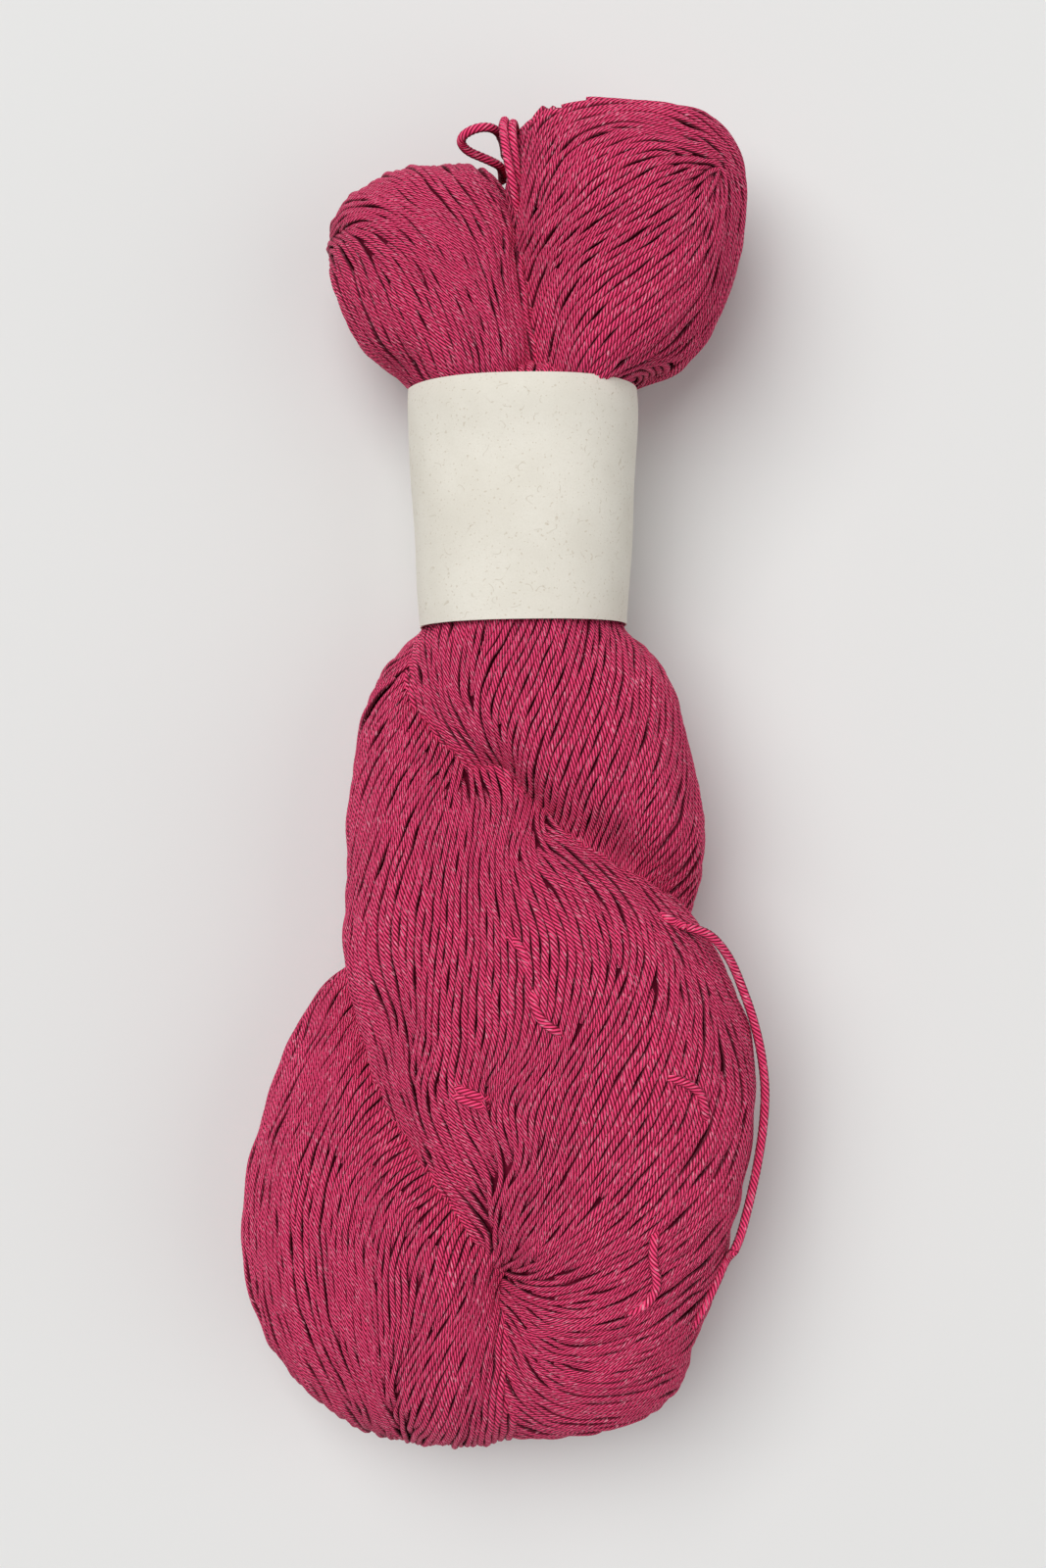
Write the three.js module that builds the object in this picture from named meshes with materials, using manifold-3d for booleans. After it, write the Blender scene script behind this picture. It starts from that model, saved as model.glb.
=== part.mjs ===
// Hank of sock yarn, twisted on itself and held at its neck by a paper band.
// Millimetres. +Y runs from the folded foot of the hank to its two loop ends,
// +X is to the right when it is seen from above, and +Z is up from the table.
// The origin is under the middle of the hank, on the table.
import * as THREE from "three";
import { LoftGeometry } from "three/addons/geometries/LoftGeometry.js";
import { mergeVertices } from "three/addons/utils/BufferGeometryUtils.js";
import Module from "manifold-3d";

// Driving dimensions
const YARN_DIAMETER = 1.7;
const PAPER_THICKNESS = 1.0;
const CLEARANCE = 0.3;
const SLEEVE_EASE = 0.55;
const BAND = { from: 28.5, to: 73.6 };
const EYE = { x: 0.2, y: -98, floor: 22, mouth: 47, radius: 6, stretch: 1.35 };

// Fineness of the lofted bundles
const SIDES = 34;
const STEP = 5.5;
const NECK_STEP = 8;
const ROUNDNESS = 2.3;
const TABLE_DEPTH = 20;
const CORD_SIDES = 8;

// Colours
const YARN_COLOUR = 0xb8325f;
const PAPER_COLOUR = 0xe3ddcf;

// Each bundle is a row of upright sections along its length. A row gives the
// section's left and right edge in plan, and its lowest and highest point. A
// lowest point under zero is where the bundle is pressed flat on the table.
const COLUMNS = ["leftX", "leftY", "rightX", "rightY", "low", "top"];

const NECK = [
  [-12.0, 82.0, 19.0, 82.0, 13.0, 30.0],
  [-16.0, 77.0, 23.5, 77.0, 7.0, 41.0],
  [-17.4, 73.0, 24.9, 73.0, 4.4, 47.1],
  [-17.1, 61.0, 24.7, 61.0, 4.5, 47.0],
  [-16.5, 50.0, 24.2, 50.0, 4.7, 46.9],
  [-15.8, 40.0, 23.6, 40.0, 4.8, 46.6],
  [-15.2, 30.0, 23.0, 30.0, 5.0, 46.2],
  [-14.6, 26.0, 22.4, 26.0, 6.0, 44.5],
  [-11.0, 20.0, 18.0, 20.0, 13.0, 36.0],
];

const LEFT_LOOP = [
  [-13.0, 60.0, 4.0, 60.0, 10.0, 41.0],
  [-18, 75.5, 10, 76.5, 4.7, 46.6],
  [-26.4, 81, 10.4, 83, 1, 47],
  [-31.4, 90, 8.6, 92.5, -1, 46.8],
  [-34.2, 98.5, 6.6, 101, -1.5, 46],
  [-34.2, 105.2, 3.2, 107.5, -1.5, 44.5],
  [-30.8, 110.8, 1.4, 112.4, 0.0, 41.5],
  [-25.0, 114.6, -1.0, 115.8, 4.5, 37.0],
  [-18.0, 117.0, -4.0, 117.6, 12.5, 30.5],
  [-12.5, 118.0, -9.5, 118.1, 19.0, 24.0],
];

const RIGHT_LOOP = [
  [4.0, 60.0, 21.0, 60.0, 10.0, 41.0],
  [3.6, 76.5, 25.4, 74.6, 4.7, 46.6],
  [2.4, 83.5, 34.2, 78.5, 1, 48.2],
  [1.2, 92, 41.7, 87.5, -1, 49.5],
  [0.2, 101, 46, 99, -1.5, 50],
  [0.4, 110.0, 47.3, 109.0, -1.5, 49.2],
  [0.9, 118.3, 46.8, 118.0, 0.0, 46.5],
  [2.4, 124.4, 43.2, 125.0, 4.5, 41.5],
  [6.5, 128.0, 35.5, 128.6, 11.0, 34.0],
  [13.5, 129.6, 28.0, 129.8, 18.5, 26.5],
];

// The bundle that leaves the band on top, dives under the other one and comes
// out at the lower left.
const UNDER_BUNDLE = [
  [-12.0, 45.0, 19.0, 45.0, 10.0, 42.0],
  [-15.0, 30.0, 22.8, 30.0, 5.4, 45.9],
  [-20.0, 20.0, 32.0, 20.0, 1.0, 48.5],
  [-18.5, 10.0, 35.0, 9.5, -1.0, 50.0],
  [-11.5, 1.0, 37.8, -1.5, -1.5, 50.0],
  [-4.0, -7.0, 39.4, -11.5, -1.5, 48.0],
  [-4.0, -15.0, 39.0, -20.0, -1.0, 43.0],
  [-11.0, -23.0, 36.5, -31.0, -1.0, 36.0],
  [-21.0, -31.0, 33.0, -43.0, -1.0, 31.0],
  [-31.0, -37.5, 27.0, -56.0, -1.0, 33.0],
  [-38.0, -44.5, 22.0, -68.0, -1.2, 37.0],
  [-43.0, -54.5, 17.0, -78.0, -1.5, 41.0],
  [-47.3, -66.5, 13.0, -87.0, -1.5, 43.5],
  [-50.2, -79, 10.5, -95, -1.5, 45],
  [-50.8, -91, 10, -103, -1.5, 45.5],
  [-48.6, -102.5, 9.5, -112, -1.5, 45.5],
  [-44.6, -112, 8.5, -119, -1, 43.5],
  [-38, -119.6, 6, -125.5, 1.5, 39.5],
  [-30.0, -126.0, 1.5, -129.6, 7.0, 33.0],
  [-21.5, -129.8, -4.0, -130.8, 14.0, 26.0],
  [-14.5, -130.8, -10.5, -131.0, 19.0, 21.5],
];

// The bundle that comes out at the left of the neck, lies over the other one
// and turns in at the eye near the foot.
const OVER_BUNDLE = [
  [-12.0, 45.0, 8.0, 45.0, 12.0, 36.0],
  [-14.9, 30.0, 6.0, 30.0, 8.0, 38.0],
  [-23.0, 21.5, 6.0, 22.0, 4.0, 38.0],
  [-27.0, 12.5, 7.0, 13.0, 1.0, 40.5],
  [-29.0, 4.0, 9.0, 3.0, -0.5, 44.0],
  [-30.1, -6.0, 13.0, -5.0, -0.5, 47.5],
  [-30.0, -15.0, 20.0, -12.5, 1.0, 50.0],
  [-30.0, -23.0, 28.0, -19.5, 4.0, 51.5],
  [-30.8, -32.0, 37.5, -28.5, 6.0, 52.5],
  [-29.8, -40, 43.4, -39.5, 6, 53],
  [-27.4, -49, 47.4, -50, 4, 53],
  [-25.6, -59, 48.6, -60, 1, 52.5],
  [-22.3, -68.5, 48.0, -70.0, -0.5, 51.5],
  [-17.0, -77.5, 46.2, -79.5, -1.5, 50.5],
  [-10.5, -86.0, 44.6, -88.5, -1.5, 49.5],
  [-6.5, -94, 42.6, -96, -1.5, 48],
  [-6, -101, 40.2, -103, -1.5, 47],
  [-6.5, -108, 37.4, -110, -1.5, 46],
  [-7, -115, 35.8, -117, -1, 43.5],
  [-7, -121.5, 31, -122.6, 3, 38.5],
  [-4.5, -126.4, 23.0, -126.6, 8.5, 32.0],
  [-1.0, -129.2, 14.0, -129.0, 15.0, 25.5],
  [4.0, -130.0, 8.5, -130.0, 19.0, 21.5],
];

// A small loop of yarn that stands out of the groove between the two loop
// ends, and a strand that stands off the right side. Points of the route:
// x, y, z.
const LOOSE_LOOP = [
  [-0.2, 118.2, 13.5],
  [-0.2, 118.2, 18.5],
  [-0.6, 118.3, 23.0],
  [-2.2, 118.6, 25.4],
  [-4.3, 119.2, 26.5],
  [-6.0, 119.7, 27.4],
  [-7.3, 120.3, 28.6],
  [-7.9, 121.0, 30.2],
  [-7.4, 121.7, 31.8],
  [-5.9, 122.4, 32.8],
  [-4.0, 122.9, 33.0],
  [-2.2, 123.1, 32.0],
  [-0.9, 123.2, 29.0],
  [-0.2, 123.2, 24.5],
  [0.2, 123.0, 19.5],
  [0.3, 122.9, 14.5],
];

const LOOSE_STRAND = [
  [34.2, -28.4, 43.2],
  [36.4, -29.0, 42.6],
  [38.8, -30.2, 41.2],
  [41.2, -32.6, 38.9],
  [43.4, -36.0, 36.4],
  [45.4, -40.5, 34.2],
  [47.6, -46.4, 32.2],
  [49.3, -53.0, 30.8],
  [50.2, -60.0, 29.8],
  [50.0, -67.0, 29.2],
  [49.0, -74.0, 29.2],
  [47.6, -80.6, 29.6],
  [46.0, -86.2, 31.0],
  [45.0, -88.6, 32.5],
  [43.9, -90.3, 34.5],
];

const wasm = await Module();
wasm.setup();

function solidOf(geometry) {
  const bare = new THREE.BufferGeometry().copy(geometry);
  bare.deleteAttribute("normal");
  bare.deleteAttribute("uv");
  const merged = mergeVertices(bare, 1e-4);
  return new wasm.Manifold(new wasm.Mesh({
    numProp: 3,
    vertProperties: new Float32Array(merged.getAttribute("position").array),
    triVerts: new Uint32Array(merged.getIndex().array),
  }));
}

function geometryOf(solid) {
  const mesh = solid.getMesh();
  const geometry = new THREE.BufferGeometry();
  geometry.setAttribute("position", new THREE.BufferAttribute(mesh.vertProperties, mesh.numProp));
  geometry.setIndex(new THREE.BufferAttribute(mesh.triVerts, 1));
  geometry.computeVertexNormals();
  return geometry;
}

// Smooth rows between the given ones, about one every STEP along the bundle.
function smoothRows(rows, step) {
  const named = rows.map((row) => Object.fromEntries(COLUMNS.map((name, i) => [name, row[i]])));
  const left = new THREE.CatmullRomCurve3(
    named.map((row) => new THREE.Vector3(row.leftX, row.leftY, row.low)), false, "catmullrom");
  const right = new THREE.CatmullRomCurve3(
    named.map((row) => new THREE.Vector3(row.rightX, row.rightY, row.top)), false, "catmullrom");
  const counts = named.slice(1).map((row, i) => {
    const before = named[i];
    const leftRun = Math.hypot(row.leftX - before.leftX, row.leftY - before.leftY);
    const rightRun = Math.hypot(row.rightX - before.rightX, row.rightY - before.rightY);
    return Math.max(1, Math.round((leftRun + rightRun) / 2 / step));
  });
  const smooth = [];
  counts.forEach((count, i) => {
    for (let part = 0; part < count; part += 1) {
      const t = (i + part / count) / counts.length;
      smooth.push({ left: left.getPoint(t), right: right.getPoint(t) });
    }
  });
  smooth.push({ left: left.getPoint(1), right: right.getPoint(1) });
  return smooth;
}

// The points of one upright section: a softly squared oval between the two
// edges, grown all round by a margin.
function sectionPoints({ left, right }, sides, margin = 0) {
  const middle = new THREE.Vector3((left.x + right.x) / 2, (left.y + right.y) / 2, (left.z + right.z) / 2);
  const across = new THREE.Vector3((right.x - left.x) / 2, (right.y - left.y) / 2, 0);
  const halfWidth = across.length() + margin;
  const halfHeight = (right.z - left.z) / 2 + margin;
  across.normalize();
  const soften = (value) => Math.sign(value) * Math.abs(value) ** (2 / ROUNDNESS);
  const points = [];
  for (let i = 0; i < sides; i += 1) {
    const angle = (2 * Math.PI * i) / sides;
    const point = middle.clone().addScaledVector(across, halfWidth * soften(Math.cos(angle)));
    point.z += halfHeight * soften(Math.sin(angle));
    points.push(point);
  }
  return points;
}

// A closed bundle through all its rows. The sections are taken towards the
// foot, so that the walls face out.
function bundle(rows, { step = STEP, margin = 0 } = {}) {
  const runsToFoot = rows[0][1] > rows.at(-1)[1];
  const smooth = smoothRows(runsToFoot ? rows : rows.toReversed(), step);
  const sections = smooth.map((row) => sectionPoints(row, SIDES, margin));
  return solidOf(new LoftGeometry(sections, { capStart: true, capEnd: true }));
}

function slab(from, to, low, top) {
  const width = 200;
  const geometry = new THREE.BoxGeometry(width, to - from, top - low);
  geometry.translate(0, (from + to) / 2, (low + top) / 2);
  return solidOf(geometry);
}

// The dark hole where the bundles turn into each other.
function eyeHole() {
  const depth = EYE.mouth - EYE.floor;
  const profile = [
    new THREE.Vector2(0, 0),
    new THREE.Vector2(EYE.radius * 0.22, 0),
    new THREE.Vector2(EYE.radius * 0.38, depth * 0.35),
    new THREE.Vector2(EYE.radius * 0.62, depth * 0.7),
    new THREE.Vector2(EYE.radius, depth),
    new THREE.Vector2(EYE.radius * 2.2, depth * 1.5),
    new THREE.Vector2(0, depth * 1.5),
  ];
  const geometry = new THREE.LatheGeometry(profile, 14);
  geometry.rotateX(Math.PI / 2);
  geometry.scale(1, EYE.stretch, 1);
  geometry.translate(EYE.x, EYE.y, EYE.floor);
  return solidOf(geometry);
}

function makeHank() {
  const neck = bundle(NECK, { step: NECK_STEP });
  const besideBand = slab(BAND.from - CLEARANCE, BAND.to + CLEARANCE, -60, 120).subtract(neck);
  const bundles = [LEFT_LOOP, RIGHT_LOOP, UNDER_BUNDLE, OVER_BUNDLE].map((rows) => bundle(rows));
  const whole = bundles.reduce((sum, one) => sum.add(one), neck);
  const shaped = whole.subtract(besideBand).subtract(eyeHole());
  return shaped.subtract(slab(-200, 200, -TABLE_DEPTH, 0));
}

function makeBand() {
  const sleeve = bundle(NECK, { step: NECK_STEP, margin: SLEEVE_EASE + PAPER_THICKNESS });
  const inside = bundle(NECK, { step: NECK_STEP, margin: SLEEVE_EASE });
  const ends = slab(-200, BAND.from, -60, 120).add(slab(BAND.to, 200, -60, 120));
  return sleeve.subtract(inside).subtract(ends);
}

function cord(route, steps) {
  const path = new THREE.CatmullRomCurve3(route.map(([x, y, z]) => new THREE.Vector3(x, y, z)));
  const radius = YARN_DIAMETER / 2;
  const outline = [];
  for (let i = 0; i < CORD_SIDES; i += 1) {
    const angle = (2 * Math.PI * i) / CORD_SIDES;
    outline.push(new THREE.Vector2(radius * Math.cos(angle), radius * Math.sin(angle)));
  }
  return new THREE.ExtrudeGeometry(new THREE.Shape(outline), { extrudePath: path, steps, bevelEnabled: false });
}

const yarn = new THREE.MeshStandardMaterial({ color: YARN_COLOUR, roughness: 0.85, metalness: 0 });
const paper = new THREE.MeshStandardMaterial({ color: PAPER_COLOUR, roughness: 0.8, metalness: 0 });

const group = new THREE.Group();

function place(name, geometry, material) {
  const mesh = new THREE.Mesh(geometry, material);
  mesh.name = name;
  group.add(mesh);
}

const hank = makeHank();
place("hank", geometryOf(hank), yarn.clone());
place("band", geometryOf(makeBand()), paper.clone());
place("loose_loop", cord(LOOSE_LOOP, 24), yarn.clone());
place("loose_strand", cord(LOOSE_STRAND, 28), yarn.clone());

// The origin goes under the middle of the hank.
const box = hank.boundingBox();
group.position.set(-(box.min[0] + box.max[0]) / 2, -(box.min[1] + box.max[1]) / 2, 0);

export default group;
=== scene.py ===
import math
import random

import bpy
import numpy as np
from bpy.props import FloatProperty, FloatVectorProperty, PointerProperty
from bpy.types import Operator, Panel, PropertyGroup
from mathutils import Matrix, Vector
from mathutils.bvhtree import BVHTree
from mathutils.kdtree import KDTree


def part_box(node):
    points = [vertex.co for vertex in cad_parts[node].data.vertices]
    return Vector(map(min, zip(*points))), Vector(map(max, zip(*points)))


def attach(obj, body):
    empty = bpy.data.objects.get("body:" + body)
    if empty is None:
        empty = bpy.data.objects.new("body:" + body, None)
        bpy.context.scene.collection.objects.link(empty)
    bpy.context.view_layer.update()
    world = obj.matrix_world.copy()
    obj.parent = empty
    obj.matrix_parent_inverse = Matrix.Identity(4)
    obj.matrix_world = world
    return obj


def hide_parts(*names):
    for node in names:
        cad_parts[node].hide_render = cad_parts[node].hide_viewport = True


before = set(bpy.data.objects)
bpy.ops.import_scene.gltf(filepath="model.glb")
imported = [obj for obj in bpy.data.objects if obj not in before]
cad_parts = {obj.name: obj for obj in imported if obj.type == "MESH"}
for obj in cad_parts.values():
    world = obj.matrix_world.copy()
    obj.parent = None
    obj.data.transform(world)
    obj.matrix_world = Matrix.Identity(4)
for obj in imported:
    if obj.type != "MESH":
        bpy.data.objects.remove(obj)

bl_info = {
    "name": "Hank of sock yarn",
    "version": (1, 0, 0),
    "blender": (4, 5, 0),
    "location": "View3D > Sidebar > Hank",
    "description": "Lays the yarn on the bundles of a twisted hank and wraps its neck in a paper band",
    "category": "Object",
}

MM = 0.001

# The bundles of the hank. Each row is an upright section along the bundle, in
# millimetres: left edge x and y, right edge x and y, lowest point, highest point.
NECK = (
    (-12.0, 82.0, 19.0, 82.0, 13.0, 30.0),
    (-16.0, 77.0, 23.5, 77.0, 7.0, 41.0),
    (-17.4, 73.0, 24.9, 73.0, 4.4, 47.1),
    (-17.1, 61.0, 24.7, 61.0, 4.5, 47.0),
    (-16.5, 50.0, 24.2, 50.0, 4.7, 46.9),
    (-15.8, 40.0, 23.6, 40.0, 4.8, 46.6),
    (-15.2, 30.0, 23.0, 30.0, 5.0, 46.2),
    (-14.6, 26.0, 22.4, 26.0, 6.0, 44.5),
    (-11.0, 20.0, 18.0, 20.0, 13.0, 36.0),
)
LEFT_LOOP = (
    (-13.0, 60.0, 4.0, 60.0, 10.0, 41.0),
    (-18.0, 75.5, 10.0, 76.5, 4.7, 46.6),
    (-26.4, 81.0, 10.4, 83.0, 1.0, 47.0),
    (-31.4, 90.0, 8.6, 92.5, -1.0, 46.8),
    (-34.2, 98.5, 6.6, 101.0, -1.5, 46.0),
    (-34.2, 105.2, 3.2, 107.5, -1.5, 44.5),
    (-30.8, 110.8, 1.4, 112.4, 0.0, 41.5),
    (-25.0, 114.6, -1.0, 115.8, 4.5, 37.0),
    (-18.0, 117.0, -4.0, 117.6, 12.5, 30.5),
    (-12.5, 118.0, -9.5, 118.1, 19.0, 24.0),
)
RIGHT_LOOP = (
    (4.0, 60.0, 21.0, 60.0, 10.0, 41.0),
    (3.6, 76.5, 25.4, 74.6, 4.7, 46.6),
    (2.4, 83.5, 34.2, 78.5, 1.0, 48.2),
    (1.2, 92.0, 41.7, 87.5, -1.0, 49.5),
    (0.2, 101.0, 46.0, 99.0, -1.5, 50.0),
    (0.4, 110.0, 47.3, 109.0, -1.5, 49.2),
    (0.9, 118.3, 46.8, 118.0, 0.0, 46.5),
    (2.4, 124.4, 43.2, 125.0, 4.5, 41.5),
    (6.5, 128.0, 35.5, 128.6, 11.0, 34.0),
    (13.5, 129.6, 28.0, 129.8, 18.5, 26.5),
)
UNDER_BUNDLE = (
    (-12.0, 45.0, 19.0, 45.0, 10.0, 42.0),
    (-15.0, 30.0, 22.8, 30.0, 5.4, 45.9),
    (-20.0, 20.0, 32.0, 20.0, 1.0, 48.5),
    (-18.5, 10.0, 35.0, 9.5, -1.0, 50.0),
    (-11.5, 1.0, 37.8, -1.5, -1.5, 50.0),
    (-4.0, -7.0, 39.4, -11.5, -1.5, 48.0),
    (-4.0, -15.0, 39.0, -20.0, -1.0, 43.0),
    (-11.0, -23.0, 36.5, -31.0, -1.0, 36.0),
    (-21.0, -31.0, 33.0, -43.0, -1.0, 31.0),
    (-31.0, -37.5, 27.0, -56.0, -1.0, 33.0),
    (-38.0, -44.5, 22.0, -68.0, -1.2, 37.0),
    (-43.0, -54.5, 17.0, -78.0, -1.5, 41.0),
    (-47.3, -66.5, 13.0, -87.0, -1.5, 43.5),
    (-50.2, -79.0, 10.5, -95.0, -1.5, 45.0),
    (-50.8, -91.0, 10.0, -103.0, -1.5, 45.5),
    (-48.6, -102.5, 9.5, -112.0, -1.5, 45.5),
    (-44.6, -112.0, 8.5, -119.0, -1.0, 43.5),
    (-38.0, -119.6, 6.0, -125.5, 1.5, 39.5),
    (-30.0, -126.0, 1.5, -129.6, 7.0, 33.0),
    (-21.5, -129.8, -4.0, -130.8, 14.0, 26.0),
    (-14.5, -130.8, -10.5, -131.0, 19.0, 21.5),
)
OVER_BUNDLE = (
    (-12.0, 45.0, 8.0, 45.0, 12.0, 36.0),
    (-14.9, 30.0, 6.0, 30.0, 8.0, 38.0),
    (-23.0, 21.5, 6.0, 22.0, 4.0, 38.0),
    (-27.0, 12.5, 7.0, 13.0, 1.0, 40.5),
    (-29.0, 4.0, 9.0, 3.0, -0.5, 44.0),
    (-30.1, -6.0, 13.0, -5.0, -0.5, 47.5),
    (-30.0, -15.0, 20.0, -12.5, 1.0, 50.0),
    (-30.0, -23.0, 28.0, -19.5, 4.0, 51.5),
    (-30.8, -32.0, 37.5, -28.5, 6.0, 52.5),
    (-29.8, -40.0, 43.4, -39.5, 6.0, 53.0),
    (-27.4, -49.0, 47.4, -50.0, 4.0, 53.0),
    (-25.6, -59.0, 48.6, -60.0, 1.0, 52.5),
    (-22.3, -68.5, 48.0, -70.0, -0.5, 51.5),
    (-17.0, -77.5, 46.2, -79.5, -1.5, 50.5),
    (-10.5, -86.0, 44.6, -88.5, -1.5, 49.5),
    (-6.5, -94.0, 42.6, -96.0, -1.5, 48.0),
    (-6.0, -101.0, 40.2, -103.0, -1.5, 47.0),
    (-6.5, -108.0, 37.4, -110.0, -1.5, 46.0),
    (-7.0, -115.0, 35.8, -117.0, -1.0, 43.5),
    (-7.0, -121.5, 31.0, -122.6, 3.0, 38.5),
    (-4.5, -126.4, 23.0, -126.6, 8.5, 32.0),
    (-1.0, -129.2, 14.0, -129.0, 15.0, 25.5),
    (4.0, -130.0, 8.5, -130.0, 19.0, 21.5),
)

# How the strands run on the upper side: each list is one strand, as points in
# millimetres, drawn as the camera sees them at LAY_READ_AT above the floor.
LEFT_LOOP_LAY = (
    ((-31.5, 98), (-29.6, 95), (-28.3, 91), (-26.6, 86.5), (-24.4, 81), (-21, 76), (-18.5, 73.5)),
    ((-30.5, 99.5), (-27.8, 96.5), (-25.5, 92), (-22.5, 86), (-19, 81), (-16.8, 76.5), (-15.5, 74)),
    ((-31.5, 101), (-29.5, 102.2), (-26, 101.8), (-22, 99), (-17, 93.5), (-12.5, 87.5), (-9.5, 82),
     (-8, 77), (-7.3, 74)),
    ((-28.5, 105), (-24, 103.8), (-19, 100.5), (-14, 95), (-9.5, 89), (-6.5, 83.5), (-5, 78), (-4.4, 74)),
    ((-25, 108.6), (-20, 105), (-14.5, 100), (-9.5, 94), (-5.5, 88), (-3, 82), (-2, 77), (-1.8, 74)),
    ((-19.5, 110.6), (-15.5, 105.5), (-10.5, 99.5), (-6, 93), (-2.6, 87), (-0.6, 81), (0.2, 74.5)),
    ((-14, 111.5), (-11, 106.5), (-7, 100.5), (-3.6, 95), (-1, 88.5), (1, 82), (2, 76)),
    ((-9, 112), (-6, 106.5), (-3, 101.5), (-0.6, 95), (1, 89), (2.6, 83), (4, 77)),
    ((-3, 112.5), (-1, 109), (0.8, 105), (1.8, 100), (2, 94), (3.2, 88), (5, 82), (7, 77)),
)
RIGHT_LOOP_LAY = (
    ((1.8, 107), (2.4, 114.3), (4, 119.2), (6.7, 121.9), (10.5, 122.6)),
    ((3.2, 102.4), (4, 107.3), (5.6, 111.6), (8.9, 116.5), (13.2, 119.7), (18.6, 121.3), (26.7, 121.9),
     (34.9, 120.2), (41, 116.5), (44.6, 112.1)),
    ((2.9, 94), (3.2, 98), (5, 100.8), (8.3, 104.6), (12.1, 108.9), (15.9, 112.7), (21.3, 116),
     (26.7, 117.3), (34.9, 115.9), (41.9, 113.8)),
    ((4.2, 88), (6.2, 93.7), (9.4, 98.2), (14.8, 103), (21.3, 107.9), (26.7, 111.4), (34.9, 114.3),
     (41.4, 113.5)),
    ((6.2, 84), (6.4, 88.3), (8.3, 93.3), (13.8, 98.3), (19.2, 101.6), (25.7, 105.3), (32.2, 109.4),
     (37.6, 112.7), (41.4, 113.2)),
    ((8.6, 82), (10, 88.3), (14.3, 93.2), (19.2, 97), (25.7, 100.8), (32.2, 104.9), (37, 109.4),
     (40.3, 112.7)),
    ((8.6, 75), (9.4, 80.7), (13.8, 87.2), (19.2, 91.4), (25.7, 95.6), (32.2, 100), (37, 104.6),
     (39.7, 109.4)),
    ((11.6, 73.2), (13.2, 80.2), (17.5, 84.6), (24, 89.4), (31.1, 94.2), (36.5, 98.9), (39.2, 103.5),
     (40.2, 108)),
    ((14.8, 73.2), (16.5, 77.5), (21.3, 81.8), (27.8, 86.5), (34.3, 91.2), (38.7, 95.9), (41.4, 102.4),
     (42.4, 108.3)),
    ((19.2, 74.2), (23.5, 78), (29.5, 81.9), (35, 86), (38.6, 89.6), (40.5, 94), (42, 100), (43, 106),
     (43, 110)),
    ((23.5, 74.4), (27.8, 76.6), (32.2, 79.4), (36.5, 83.2), (39.7, 87), (42.4, 92.6), (44, 100.2),
     (44.4, 107.8), (42.6, 113.2)),
    ((26.7, 73.6), (32.2, 75.9), (37, 80.2), (41.4, 86.7), (44, 95.9), (45.2, 104.5), (44.6, 112.1),
     (41.9, 116.5)),
)
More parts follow.
